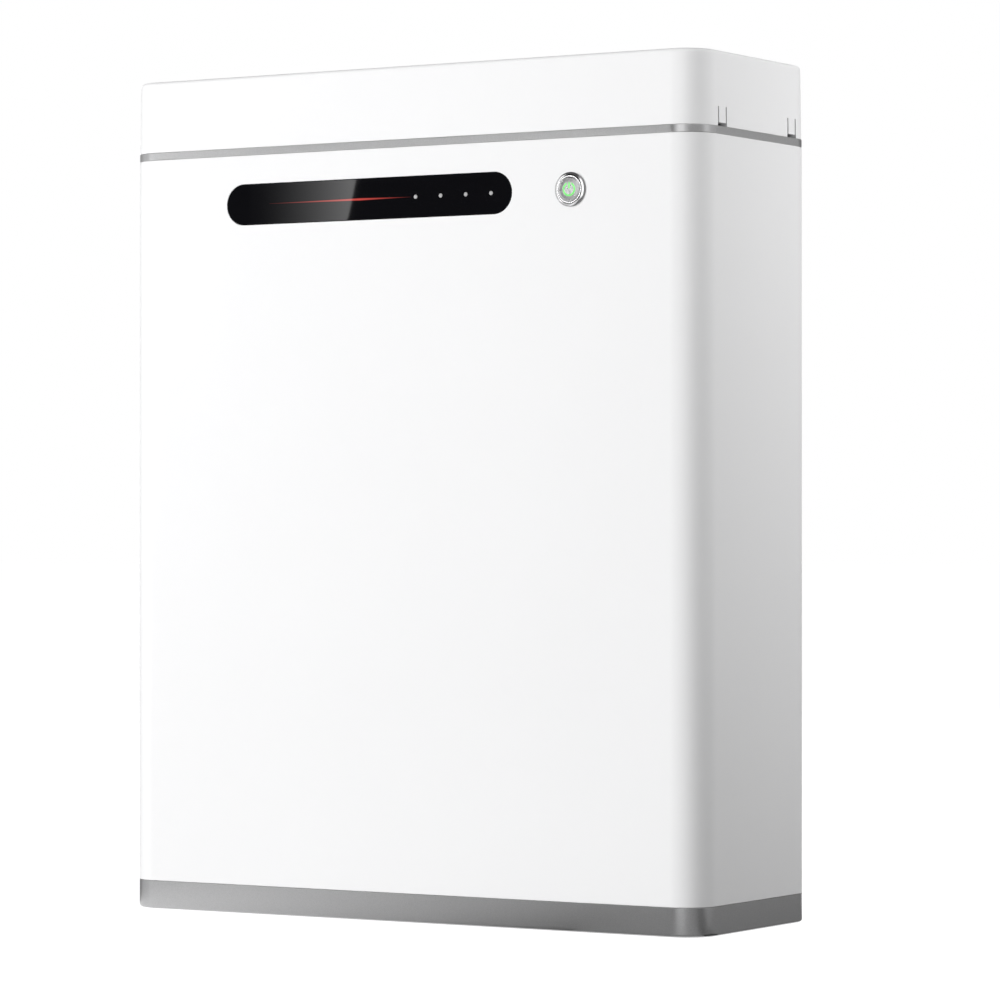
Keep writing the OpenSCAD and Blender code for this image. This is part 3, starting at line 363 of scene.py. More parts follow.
@dataclass(frozen=True)
class Plated(Finish):
    """Zinc-plated or rolled sheet: a soft spangle with fine lines from the mill."""

    spangle: float = 110.0

    def paint(self, recipe: Recipe) -> Material:
        """Spangle in the colour and the gloss, and mill lines in the relief.

        Args:
            recipe: The empty material to fill.

        Returns:
            The material.
        """
        patch = recipe.grey(recipe.cells(self.spangle))
        lines = recipe.noise(1.0, 2.0, recipe.moved(scale=(60.0, 2600.0, 2600.0)))
        return recipe.surface(
            Base_Color=self.tinted(recipe, patch, 0.86, 1.06),
            Metallic=1.0,
            Roughness=self.rough - 0.06 + patch * 0.09 + lines * 0.08,
            Normal=recipe.bump(lines, 0.004 * MM),
        )


@dataclass(frozen=True)
class Brushed(Finish):
    """Bare metal with fine lines along one axis."""

    along: Point3 = (0.03, 1.0, 1.0)
    fine: float = 3000.0

    def paint(self, recipe: Recipe) -> Material:
        """Long fine lines, and a faint tarnish in the colour.

        Args:
            recipe: The empty material to fill.

        Returns:
            The material.
        """
        lines = recipe.noise(1.0, 3.0, recipe.moved(scale=tuple(self.fine * a for a in self.along)))
        tarnish = recipe.noise(60.0, 3.0)
        return recipe.surface(
            Base_Color=self.tinted(recipe, tarnish, 0.84, 1.06),
            Metallic=1.0,
            Roughness=self.rough - 0.05 + lines * 0.12 + tarnish * 0.04,
            Normal=recipe.bump(lines, 0.004 * MM),
        )


@dataclass(frozen=True)
class Turned(Finish):
    """Metal turned on a lathe: fine rings about an axis."""

    centre: Point3 = (0.0, 0.0, 0.0)
    flat: Point3 = (1.0, 0.0, 1.0)
    pitch: float = 0.16
    depth: float = 0.006
    # Radius in millimetres beyond which shade is painted into the metal's colour.
    rim: float = 100.0

    def paint(self, recipe: Recipe) -> Material:
        """Uneven rings that spread the light, a few smears, and painted shade that darkens the metal beyond
        the rim.

        Args:
            recipe: The empty material to fill.

        Returns:
            The material.
        """
        radius = recipe.radius(self.centre, self.flat)
        waver = recipe.noise(1.0, 3.0, recipe.node("ShaderNodeCombineXYZ", {}, {"X": radius * 9000.0}))
        tool = (radius * (tau / (self.pitch * MM))).sine()
        smear = recipe.noise(330.0, 2.0)
        grooves = waver * 0.7 + tool * 0.15 + 0.15
        metal = self.tinted(recipe, waver * 0.5 + smear * 0.5, 0.78, 1.14)
        # Painted shade: past the rim radius the colour turns dark, standing in for the shadowed edge.
        painted_rim_shade = ((radius - self.rim * MM) / (0.3 * MM)).clamped()
        return recipe.surface(
            Base_Color=recipe.mix(painted_rim_shade, metal, shade(self.colour, 0.4)),
            Metallic=1.0,
            Roughness=self.rough * (waver * 0.3 + smear * 0.4 + 0.6),
            Normal=recipe.bump(grooves, self.depth * MM),
        )


@dataclass(frozen=True)
class Elastic(Finish):
    """Rubber, foam or soft plastic: dull, with an open grain."""

    grain: float = 1400.0
    depth: float = 0.02

    def paint(self, recipe: Recipe) -> Material:
        """Grain in the relief, and a dusty bloom in the colour.

        Args:
            recipe: The empty material to fill.

        Returns:
            The material.
        """
        grain = recipe.cells(self.grain, "Distance")
        bloom = recipe.noise(45.0, 3.0)
        return recipe.surface(
            Base_Color=self.tinted(recipe, bloom, 0.8, 1.25),
            Roughness=self.rough - 0.05 + bloom * 0.1,
            Normal=recipe.bump(grain, self.depth * MM),
        )


@dataclass(frozen=True)
class Wrapped(Finish):
    """A thin film pulled over a can: glossy, with shallow wrinkles."""

    def paint(self, recipe: Recipe) -> Material:
        """Long shallow wrinkles, with the can's dents under them.

        Args:
            recipe: The empty material to fill.

        Returns:
            The material.
        """
        pull = recipe.noise(1.0, 2.0, recipe.moved(scale=(70.0, 70.0, 12.0)))
        dents = recipe.noise(35.0)
        return recipe.surface(
            Base_Color=self.tinted(recipe, pull, 0.88, 1.1),
            Roughness=self.rough - 0.04 + dents * 0.08,
            Coat_Weight=0.4,
            Normal=recipe.bump(pull * 0.6 + dents * 0.4, 0.25 * MM, 0.5),
        )


@dataclass(frozen=True)
class Masked(Finish):
    """A printed board: solder mask over copper tracks, with plated pads between them."""

    def paint(self, recipe: Recipe) -> Material:
        """Tracks that show as paler, raised lines, and small bright pads.

        Args:
            recipe: The empty material to fill.

        Returns:
            The material.
        """
        bricks = recipe.node(
            "ShaderNodeTexBrick",
            {"offset": 0.37, "squash": 0.7, "squash_frequency": 3},
            {"Vector": recipe.moved(scale=(240.0, 240.0, 240.0)), "Mortar Size": 0.035,
             "Color1": (0.0, 0.0, 0.0), "Color2": (0.25, 0.25, 0.25), "Mortar": (1.0, 1.0, 1.0)},
        )
        tracks = recipe.grey(bricks)
        pads = recipe.cells(260.0, "Distance") < 0.16
        masked = self.tinted(recipe, tracks, 1.0, 1.9)
        return recipe.surface(
            Base_Color=recipe.mix(pads, masked, (0.62, 0.58, 0.47)),
            Metallic=pads * 0.9,
            Roughness=self.rough - tracks * 0.05 + pads * 0.1,
            Normal=recipe.bump(tracks + pads, 0.03 * MM),
        )


@dataclass(frozen=True)
class Glossy(Finish):
    """A polished or clear panel with the faint haze of handling."""

    alpha: float = 1.0

    def paint(self, recipe: Recipe) -> Material:
        """A smooth face with a trace of haze and of flow in the sheet.

        Args:
            recipe: The empty material to fill.

        Returns:
            The material.
        """
        haze = recipe.noise(24.0, 4.0)
        flow = recipe.noise(6.0, 1.0)
        return recipe.surface(
            Base_Color=self.tinted(recipe, haze, 1.0, 1.15),
            Roughness=self.rough * (haze * 0.8 + 0.8),
            Alpha=self.alpha,
            Normal=recipe.bump(flow, 0.02 * MM, 0.4),
        )


@dataclass(frozen=True)
class Lit(Finish):
    """A lamp lens that glows evenly, a little brighter in its middle."""

    glow: float = 1.0
    centre: Point3 = (0.0, 0.0, 0.0)
    reach: float = 5.0

    def paint(self, recipe: Recipe) -> Material:
        """The glow falls a little towards the edge, over a matt lens.

        Args:
            recipe: The empty material to fill.

        Returns:
            The material.
        """
        away = recipe.radius(self.centre, (1.0, 0.0, 1.0)) / (self.reach * MM)
        lens = recipe.noise(900.0)
        return recipe.surface(
            Base_Color=shade(self.colour, 0.7),
            Roughness=self.rough + lens * 0.1,
            Emission_Color=self.tinted(recipe, (away * 0.6).clamped(), 1.0, 0.55),
            Emission_Strength=self.glow,
            Normal=recipe.bump(lens, 0.004 * MM),
        )


@dataclass(frozen=True)
class Needle(Finish):
    """Dark glass with a lit line in it, thickest at its peak and fading to both ends."""

    glow: Colour = (0.5, 0.06, 0.05)
    ends: tuple[float, float] = (-0.1, 0.1)
    peak: float = 0.0
    height: float = 0.0
    half: float = 0.72

    def paint(self, recipe: Recipe) -> Material:
        """The line's length and height make its mask; the rest is the glass itself.

        Args:
            recipe: The empty material to fill.

        Returns:
            The material.
        """
        at = recipe.moved((self.peak, 0.0, self.height))
        along, up = recipe.axis("X", at), recipe.axis("Z", at)
        left = along / (self.peak - self.ends[0]) + 1.0
        right = 1.0 - along / (self.ends[1] - self.peak)
        taper = left.least(right).clamped()
        inside = ((taper * (self.half * MM) - abs(up)) / (0.4 * MM) + 0.4).clamped()
        haze = recipe.noise(24.0, 4.0)
        return recipe.surface(
            Base_Color=self.tinted(recipe, haze, 1.0, 1.15),
            Roughness=self.rough * (haze * 0.8 + 0.8),
            Emission_Color=recipe.mix(inside * (taper * 0.7 + 0.3), (0.0, 0.0, 0.0), self.glow),
            Emission_Strength=1.0,
        )


# ---- Meshes ----


@dataclass(frozen=True)
class Span:
    """The box of a solid of the frame, in millimetres."""

    x0: float
    x1: float
    y0: float
    y1: float
    z0: float
    z1: float

    @classmethod
    def of(cls, node: str) -> "Span":
        """The box of the frame's solid of that name."""
        low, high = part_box(node)
        return cls(*(value / MM for axis in zip(low, high) for value in axis))

    @property
    def middle(self) -> Point3:
        """The middle of the box, in millimetres."""
        return (self.x0 + self.x1) / 2, (self.y0 + self.y1) / 2, (self.z0 + self.z1) / 2

    @property
    def size(self) -> Point3:
        """The box's width, depth and height, in millimetres."""
        return self.x1 - self.x0, self.y1 - self.y0, self.z1 - self.z0


def rounded(half_x: float, half_y: float, radius: float, steps: int = 20) -> list[Point2]:
    """A rectangle with round corners, anticlockwise.

    Args:
        half_x: Half of its width.
        half_y: Half of its depth.
        radius: The corners' radius.
        steps: Straight pieces in each corner.

    Returns:
        Its points.
    """
    points = []
    for quarter, (sx, sy) in enumerate(((1, 1), (-1, 1), (-1, -1), (1, -1))):
        x, y = sx * (half_x - radius), sy * (half_y - radius)
        for k in range(steps + 1):
            angle = pi / 2 * (quarter + k / steps)
            points.append((x + radius * cos(angle), y + radius * sin(angle)))
    return points


def stadium(length: float, height: float, steps: int = 16) -> list[Point2]:
    """A straight slot with round ends, as wide as length."""
    return rounded(length / 2, height / 2, height / 2 - 1e-4, steps)


def disc(radius: float, steps: int = 32) -> list[Point2]:
    """A circle's points, anticlockwise."""
    angles = [tau * k / steps for k in range(steps)]
    return [(radius * cos(a), radius * sin(a)) for a in angles]


def rounding(radius: float, angles: Sequence[float]) -> list[Point2]:
    """How far an edge's rounding lies inside its two faces, at angles from 0 to a quarter turn."""
    return [(radius * (1 - sin(a)), radius * (1 - cos(a))) for a in angles]


THREE_FACETS = (0.0, 0.52, 1.05, pi / 2)
FOUR_FACETS = (0.0, 0.39, 0.79, 1.18, pi / 2)


def upright(outline: Sequence[Point2], x: float, y: float, z: float) -> list[Vector]:
    """A flat outline stood up across Y, with its origin at a place."""
    return [Vector((px + x, y, pz + z)) for px, pz in outline]


def around(x: float, y: float, outline: Sequence[Point2]) -> list[Point2]:
    """A flat outline moved to x and y."""
    return [(x + px, y + py) for px, py in outline]


class Side(Enum):
    """Where a shape's own Z faces, as a turn about X in degrees."""

    FRONT = 90
    REAR = -90


HERE = Matrix.Identity(4)


def facing(x: float, y: float, z: float, side: Side) -> Matrix:
    """Places a shape at a point, with its own Z turned to one side of the unit."""
    return Matrix.Translation((x, y, z)) @ Matrix.Rotation(radians(side.value), 4, "X")


def linked(name: str, data: bpy.types.ID) -> Object:
    """A new object of the scene that holds data.

    Args:
        name: Its name.
        data: A mesh, curve, lamp or camera.

    Returns:
        The object.
    """
    obj = bpy.data.objects.new(name, data)
    bpy.context.scene.collection.objects.link(obj)
    return obj


class Solid:
    """One or more closed shells under construction, in millimetres."""

    def __init__(self) -> None:
        """Starts with no shell."""
        self.bm = bmesh.new()

    def loft(self, rings: Sequence[Sequence[Sequence[float]]], closed: bool = False) -> "Solid":
        """Skins a row of rings.

        Args:
            rings: Rings of equally many points.
            closed: Joins the last ring to the first; otherwise both ends are capped.

        Returns:
            This solid.
        """
        rows = [[self.bm.verts.new(point) for point in ring] for ring in rings]
        count = len(rows[0])
        pairs = list(zip(rows, rows[1:])) + ([(rows[-1], rows[0])] if closed else [])
        made = []
        for low, high in pairs:
            for k in range(count):
                after = (k + 1) % count
                made.append(self.bm.faces.new((low[k], low[after], high[after], high[k])))
        if not closed:
            made += [self.bm.faces.new(rows[0][::-1]), self.bm.faces.new(rows[-1])]
        bmesh.ops.recalc_face_normals(self.bm, faces=made)
        return self

    def prism(self, outline: Sequence[Point2], low: float, high: float, place: Matrix = HERE) -> "Solid":
        """Extrudes a flat outline from low to high along Z, then places it."""
        return self.loft([[place @ Vector((x, y, z)) for x, y in outline] for z in (low, high)])

    def block(self, x0: float, x1: float, y0: float, y1: float, z0: float, z1: float) -> "Solid":
        """A box between two corners."""
        return self.prism([(x0, y0), (x1, y0), (x1, y1), (x0, y1)], z0, z1)

    def lathe(self, profile: Sequence[Point2], place: Matrix, steps: int = 48) -> "Solid":
        """Turns a profile about its Z axis.

        Args:
            profile: Radius and height of each point; the ends lie on the axis, or the profile closes.
            place: The matrix that places the turned shape.
            steps: Sides of the circle.

        Returns:
            This solid.
        """
        ends_on_axis = profile[0][0] < 1e-6 and profile[-1][0] < 1e-6
        rows = []
        for radius, height in profile:
            points = [(0, 0)] if radius < 1e-6 else disc(radius, steps)
            rows.append([self.bm.verts.new(place @ Vector((x, y, height))) for x, y in points])
        pairs = list(zip(rows, rows[1:])) + ([] if ends_on_axis else [(rows[-1], rows[0])])
        made = []
        for low, high in pairs:
            for k in range(steps):
                j = (k + 1) % steps
                corners = [row[i % len(row)] for row, i in ((low, k), (low, j), (high, j), (high, k))]
                made.append(self.bm.faces.new(list(dict.fromkeys(corners))))
        bmesh.ops.recalc_face_normals(self.bm, faces=made)
        return self

    def copy_of(self, node: str) -> "Solid":
        """A copy of a solid of the frame, with its seams merged and its flat faces made whole.

        Args:
            node: The frame's solid.

        Returns:
            This solid.
        """
        mesh = frame["nodes"][node].data.copy()
        mesh.transform(Matrix.Scale(1 / MM, 4))
        self.bm.from_mesh(mesh)
        bpy.data.meshes.remove(mesh)
        bmesh.ops.remove_doubles(self.bm, verts=self.bm.verts[:], dist=0.002)
        flat = radians(0.5)
        bmesh.ops.dissolve_limit(self.bm, angle_limit=flat, verts=self.bm.verts[:], edges=self.bm.edges[:])
        return self

    def made(self, name: str) -> Object:
        """Turns the shells into an object in metres, smooth but for its sharp edges.

        Args:
            name: The object's name.

        Returns:
            The object.
        """
        bmesh.ops.transform(self.bm, matrix=Matrix.Scale(MM, 4), verts=self.bm.verts[:])
        for face in self.bm.faces:
            face.smooth = True
        mesh = bpy.data.meshes.new(name)
        self.bm.to_mesh(mesh)
        self.bm.free()
        return linked(name, mesh)


def settle(obj: Object) -> Object:
    """Turns obj's modifiers into its plain mesh.

    Args:
        obj: The object.

    Returns:
        obj.
    """
    graph = bpy.context.evaluated_depsgraph_get()
    ready = obj.evaluated_get(graph)
    mesh = bpy.data.meshes.new_from_object(ready, preserve_all_data_layers=True, depsgraph=graph)
    mesh.name = obj.name
    obj.modifiers.clear()
    obj.data = mesh
    return obj


def carved(obj: Object, *tools: Solid) -> Object:
    """Cuts tools out of obj.

    Args:
        obj: The object.
        *tools: Solids, which are used up.

    Returns:
        obj.
    """
    cutters = [tool.made(f"{obj.name}_tool") for tool in tools]
    for cutter in cutters:
        modifier = obj.modifiers.new("Cut", "BOOLEAN")
        modifier.object, modifier.operation, modifier.solver = cutter, "DIFFERENCE", "EXACT"
        modifier.use_self = True
    settle(obj)
    for cutter in cutters:
        bpy.data.objects.remove(cutter)
    return obj


def softened(obj: Object, width: float, segments: int = 2, angle: float = 35.0) -> Object:
    """Rounds obj's sharp edges and evens its shading.

    Args:
        obj: The object.
        width: The rounding's width in millimetres; 0 only evens the shading.
        segments: Faces across the rounding.
        angle: Edges that bend more than this many degrees count as sharp.

    Returns:
        obj.
    """
    if width:
        bevel = obj.modifiers.new("Edges", "BEVEL")
        bevel.width, bevel.segments = width * MM, segments
        bevel.limit_method, bevel.angle_limit = "ANGLE", radians(angle)
        bevel.use_clamp_overlap = True
        settle(obj)
    work = bmesh.new()
    work.from_mesh(obj.data)
    for edge in work.edges:
        edge.smooth = edge.calc_face_angle(0.0) < radians(angle)
    for face in work.faces:
        face.smooth = True
    work.to_mesh(obj.data)
    work.free()
    even = obj.modifiers.new("Shading", "WEIGHTED_NORMAL")
    even.keep_sharp = True
    return settle(obj)


class Pattern(Graph):
    """A Geometry Nodes tree with named inputs, which is run once and kept as a plain mesh."""

    def __init__(self, name: str) -> None:
        """Starts an empty tree.

        Args:
            name: The name of the tree and of what it makes.
        """
        self.name = name
        self.values: dict[str, Any] = {}
        super().__init__(bpy.data.node_groups.new(name, "GeometryNodeTree"))
        self.entry = self.tree.nodes.new("NodeGroupInput")
        self.tree.interface.new_socket("Geometry", in_out="INPUT", socket_type="NodeSocketGeometry")
        self.tree.interface.new_socket("Geometry", in_out="OUTPUT", socket_type="NodeSocketGeometry")
        self.source = Socket(self, self.entry.outputs[0])

    def size(self, name: str, value: Any, kind: str = "NodeSocketFloat") -> Socket:
        """Adds a named input with its value, in metres where it is a length.

        Args:
            name: Its name.
            value: Its value.
            kind: Its socket's type.

        Returns:
            The input.
        """
        item = self.tree.interface.new_socket(name, in_out="INPUT", socket_type=kind)
        self.values[item.identifier] = value
        return Socket(self, self.entry.outputs[name])

    def length(self, name: str, millimetres: float) -> Socket:
        """Adds a named length."""
        return self.size(name, millimetres * MM)

    def whole(self, name: str, number: int) -> Socket:
        """Adds a named whole number."""
        return self.size(name, number, "NodeSocketInt")

    def copies(self, points: Socket, unit: Socket, **more: Socket) -> Socket:
        """A copy of unit on each point; more holds its other sockets, such as Rotation or Scale."""
        return self.node("GeometryNodeInstanceOnPoints", {}, {"Points": points, "Instance": unit, **more})

    def moved(self, geometry: Socket, place: Point3, turn: Point3 = (0.0, 0.0, 0.0)) -> Socket:
        """The geometry turned by Euler angles and moved to a place in millimetres."""
        inputs = {"Geometry": geometry, "Rotation": turn, "Translation": tuple(value * MM for value in place)}
        return self.node("GeometryNodeTransform", {}, inputs)

    def vector(self, **axes: Socket) -> Socket:
        """A vector from what its axes hold; an axis that isn't named is 0."""
        return self.node("ShaderNodeCombineXYZ", {}, axes)

    def framed(self, width: Socket, height: Socket, radius: Socket, count: int) -> Socket:
        """The curve of a rectangle whose corners are rounded in count steps.

        Args:
            width: Its width.
            height: Its height.
            radius: The corners' radius.
            count: Straight pieces in each corner.

        Returns:
            The curve.
        """
        sides = {"Width": width, "Height": height}
        curve = self.node("GeometryNodeCurvePrimitiveQuadrilateral", {"mode": "RECTANGLE"}, sides)
        inputs = {"Curve": curve, "Count": count, "Radius": radius}
        return self.node("GeometryNodeFilletCurve", {"mode": "POLY"}, inputs)

    def swept(self, path: Socket, section: Socket) -> Socket:
        """A section swept along a flat path."""
        steady = self.node("GeometryNodeSetCurveNormal", {"mode": "Z_UP"}, {"Curve": path})
        return self.node("GeometryNodeCurveToMesh", {}, {"Curve": steady, "Profile Curve": section})

    def built(self, geometry: Socket, finish: Finish, points: Places = ()) -> Object:
        """Ends the tree, runs it and keeps what it makes.

        Args:
            geometry: What the tree makes.
            finish: The finish of the result.
            points: Places in millimetres that the tree gets as loose vertices.

        Returns:
            An object with a plain mesh.
        """
        real = self.node("GeometryNodeRealizeInstances", {}, {"Geometry": geometry})
        dressed = self.node("GeometryNodeSetMaterial", {}, {"Geometry": real, "Material": finish.material()})
        self.node("NodeGroupOutput", {}, {0: dressed})
        mesh = bpy.data.meshes.new(self.name)
        mesh.from_pydata([Vector(p) * MM for p in points], [], [])
        obj = linked(self.name, mesh)
        modifier = obj.modifiers.new("Pattern", "NODES")
        modifier.node_group = self.tree
        for identifier, value in self.values.items():
            modifier[identifier] = value
        return settle(obj)


def scattered(
    name: str, unit: Object, points: Places, turn: Point3, finish: Finish, free: float = tau
) -> Object:
    """Sets a copy of unit at each point, each turned by chance about its own axis.

    Args:
        name: The new object's name.
        unit: The object to repeat, which is used up.
        points: The places, in millimetres.
        turn: The Euler angles that bring the unit's Z to where it faces.
        finish: The copies' finish.
        free: The largest turn about the unit's axis.

    Returns:
        One object that holds every copy.
    """
    tree = Pattern(name)
    facing_turn = tree.size("Facing", turn, "NodeSocketRotation")
    piece = tree.size("Piece", unit, "NodeSocketObject")
    limits = {3: tree.size("Free turn", free), "Seed": tree.whole("Seed", 1)}
    chance = tree.node("FunctionNodeRandomValue", {"data_type": "FLOAT"}, limits)
    spin = tree.node("FunctionNodeAxisAngleToRotation", {}, {"Axis": (0.0, 0.0, 1.0), "Angle": chance})
    turns = {"Rotation": facing_turn, "Rotate By": spin}
    rotation = tree.node("FunctionNodeRotateRotation", {"rotation_space": "LOCAL"}, turns)
    shape = tree.node("GeometryNodeObjectInfo", {}, {"Object": piece}, "Geometry")
    places = tree.node("GeometryNodeMeshToPoints", {}, {"Mesh": tree.source})
    obj = tree.built(tree.copies(places, shape, Rotation=rotation), finish, points)
    bpy.data.objects.remove(unit)
    return obj


# ---- The finishes of the unit ----

SWITCH = Span.of("switch_button")
SWITCH_AXIS = tuple(value * MM for value in SWITCH.middle)
LINE = Span.of("status_line")

ALL_FINISHES: tuple[Finish, ...] = (
    Coated("case_white", (0.87, 0.87, 0.875), 0.42),
    Coated("lid_white", (0.88, 0.88, 0.885), 0.4, peel=1500.0, depth=0.003),
    Lacquer("base_grey", (0.47, 0.47, 0.475), 0.32),
    Lacquer("band_grey", (0.56, 0.56, 0.565), 0.32),
    Plated("zinc_plate", (0.62, 0.64, 0.67), 0.38),
    Brushed("steel", (0.58, 0.58, 0.6), 0.34),
    Turned("stainless", (0.8, 0.8, 0.81), 0.3, centre=SWITCH_AXIS),
    # rim=10.5 paints shade onto the bezel's outer edge.
    Turned("bezel_chrome", (0.82, 0.82, 0.83), 0.15, centre=SWITCH_AXIS, depth=0.001, rim=10.5),
    Elastic("foam", (0.035, 0.035, 0.038), 0.85, grain=1100.0, depth=0.12),
    Elastic("grommet_rubber", (0.028, 0.028, 0.03), 0.62),
    Elastic("cable_black", (0.022, 0.022, 0.024), 0.45, grain=2200.0, depth=0.006),
    Elastic("cable_red", (0.5, 0.025, 0.02), 0.42, grain=2200.0, depth=0.006),
    Elastic("ribbon_grey", (0.42, 0.42, 0.44), 0.5, grain=2500.0, depth=0.005),
    Wrapped("cell_can", (0.03, 0.1, 0.32), 0.3),
    Brushed("bare_aluminium", (0.76, 0.77, 0.78), 0.36),
    Brushed("copper", (0.8, 0.36, 0.2), 0.3),
    Brushed("brass", (0.78, 0.58, 0.26), 0.26, along=(1.0, 1.0, 0.04)),
    Elastic("cell_sheet", (0.6, 0.5, 0.3), 0.6, grain=1800.0, depth=0.01),
    Elastic("grey_pad", (0.2, 0.21, 0.22), 0.8, grain=900.0, depth=0.1),
    Glossy("clear_cover", (0.7, 0.74, 0.78), 0.12, alpha=0.3),
    Masked("board_green", (0.02, 0.13, 0.055), 0.32),
    Coated("chip_black", (0.03, 0.03, 0.032), 0.48, peel=3000.0, depth=0.004, tint=0.15),
    Coated("plug_cream", (0.72, 0.69, 0.6), 0.4, peel=2500.0, depth=0.003),
    Coated("breaker_grey", (0.66, 0.665, 0.66), 0.4, peel=2200.0, depth=0.004),
    Coated("toggle_black", (0.024, 0.024, 0.026), 0.34, peel=2600.0, depth=0.004, tint=0.12),
    Coated("insulator_red", (0.52, 0.022, 0.018), 0.36, peel=2200.0, depth=0.004),
    Coated("insulator_black", (0.026, 0.026, 0.028), 0.36, peel=2200.0, depth=0.004, tint=0.12),
    Glossy("window_black", (0.004, 0.004, 0.005), 0.016),
    Coated("dot_grey", (0.42, 0.42, 0.42), 0.3, peel=2500.0, depth=0.002),
    Needle(
        "line_red", (0.004, 0.004, 0.005), 0.016,
        glow=(0.56, 0.068, 0.055), ends=(LINE.x0 * MM, LINE.x1 * MM), peak=-0.033, height=LINE.middle[2] * MM,
    ),
    Coated("led_body", (0.8, 0.76, 0.6), 0.35, peel=3000.0, depth=0.003),
    Coated("bracket_black", (0.028, 0.028, 0.03), 0.46, peel=1100.0, depth=0.01, tint=0.1),
    Lit("symbol_green", (0.2, 0.75, 0.19), 0.3, glow=0.62, centre=SWITCH_AXIS),
)
FINISHES = {finish.name: finish for finish in ALL_FINISHES}


def finish_of(node: str) -> Finish:
    """The finish that the record gives a solid of the frame."""
    return FINISHES[SLOT_OF[node]]


def placed(obj: Object, *nodes: str, finish: Finish | None = None) -> Object:
    """Dresses a finished piece, lets it stand for solids of the frame, and ties it to their body.

    Args:
        obj: The piece.
        *nodes: The solids that it stands for, which share a finish and a body.
        finish: Another finish than theirs.

    Returns:
        obj.
    """
    obj = added(obj, nodes[0], finish)
    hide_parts(*nodes)
    return obj


def added(obj: Object, node: str, finish: Finish | None = None) -> Object:
    """Dresses a piece that belongs to a solid of the frame without standing for it.

    Args:
        obj: The piece.
        node: The solid whose body and finish it takes.
        finish: Another finish than the solid's.

    Returns:
        obj.
    """
    obj.data.materials.clear()
    obj.data.materials.append((finish or finish_of(node)).material())
    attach(obj, BODY_OF[node])
    LOG.info("%s: %d faces, on %s", obj.name, len(obj.data.polygons), BODY_OF[node])
    return obj


def kept(*nodes: str) -> None:
    """Dresses solids of the frame that keep their own mesh.

    Args:
        *nodes: The solids.
    """
    for node in nodes:
        mesh = frame["nodes"][node].data
        mesh.materials.clear()
        mesh.materials.append(finish_of(node).material())
        LOG.info("%s keeps its solid", node)


def refined(width: float, *nodes: str, segments: int = 2) -> None:
    """Lets copies with rounded edges stand for solids of the frame.

    Args:
        width: The rounding's width in millimetres; 0 only evens the shading.
        *nodes: The solids.
        segments: Faces across the rounding.
    """
    for node in nodes:
        placed(softened(Solid().copy_of(node).made(f"{node}_finished"), width, segments), node)


# ---- Fasteners ----


class Drive(Enum):
    """The recess in a screw's head, and how many points its outline has."""

    HEX = 6
    STAR = 12


@dataclass(frozen=True)
class Fastener:
    """A pan-headed screw, in millimetres."""

    head_r: float
    head_h: float
    shank_r: float
    length: float
    drive: Drive = Drive.STAR

    def recess(self) -> list[Point2]:
        """The outline of the recess: a hexagon, or a star with every second point drawn in.

        Returns:
            Its points.
        """
        size, count = self.head_r * 0.5, self.drive.value
        if self.drive is Drive.HEX:
            return disc(size * 1.05, count)
        inner, outer = disc(size * 0.76, count), disc(size, count)
        return [(outer if k % 2 else inner)[k] for k in range(count)]

    def made(self, name: str) -> Object:
        """Builds one screw that points up, with the underside of its head at the origin.

        Args:
            name: The screw's name.

        Returns:
            The screw.
        """
        top, edge, tip = self.head_h, self.head_h * 0.35, -self.length
        profile = [
            (0.0, tip), (self.shank_r * 0.7, tip), (self.shank_r, tip + self.shank_r * 0.5),
            (self.shank_r, 0.0), (self.head_r - 0.25, 0.0), (self.head_r, 0.25), (self.head_r, top - edge),
            (self.head_r - edge * 0.3, top - edge * 0.3), (self.head_r - edge, top), (0.0, top),
        ]
        screw = Solid().lathe(profile, HERE, 28).made(name)
        depth = self.head_h * 0.6
        return softened(carved(screw, Solid().prism(self.recess(), top - depth, top + 1.0)), 0.0)

    def fitted(self, name: str, node: str, points: Places, turn: Point3, stands_for: bool = True) -> Object:
        """Sets a screw at each point.

        Args:
            name: The piece's name.
            node: The solid whose screws they are.
            points: Where each head meets what it holds, in millimetres.
            turn: The Euler angles that turn a head from up to where it faces.
            stands_for: Whether the piece takes the solid's place.

        Returns:
            The piece.
        """
        rows = scattered(name, self.made(f"{name}_unit"), points, turn, finish_of(node))
        return placed(rows, node) if stands_for else added(rows, node)


UP, DOWN = (0.0, 0.0, 0.0), (pi, 0.0, 0.0)
TO_REAR, TO_FRONT = (-pi / 2, 0.0, 0.0), (pi / 2, 0.0, 0.0)


def evenly(count: int, half: float) -> list[float]:
    """Places spread evenly from -half to half."""
    return [-half + 2 * half * k / (count - 1) for k in range(count)]


# ---- Case ----


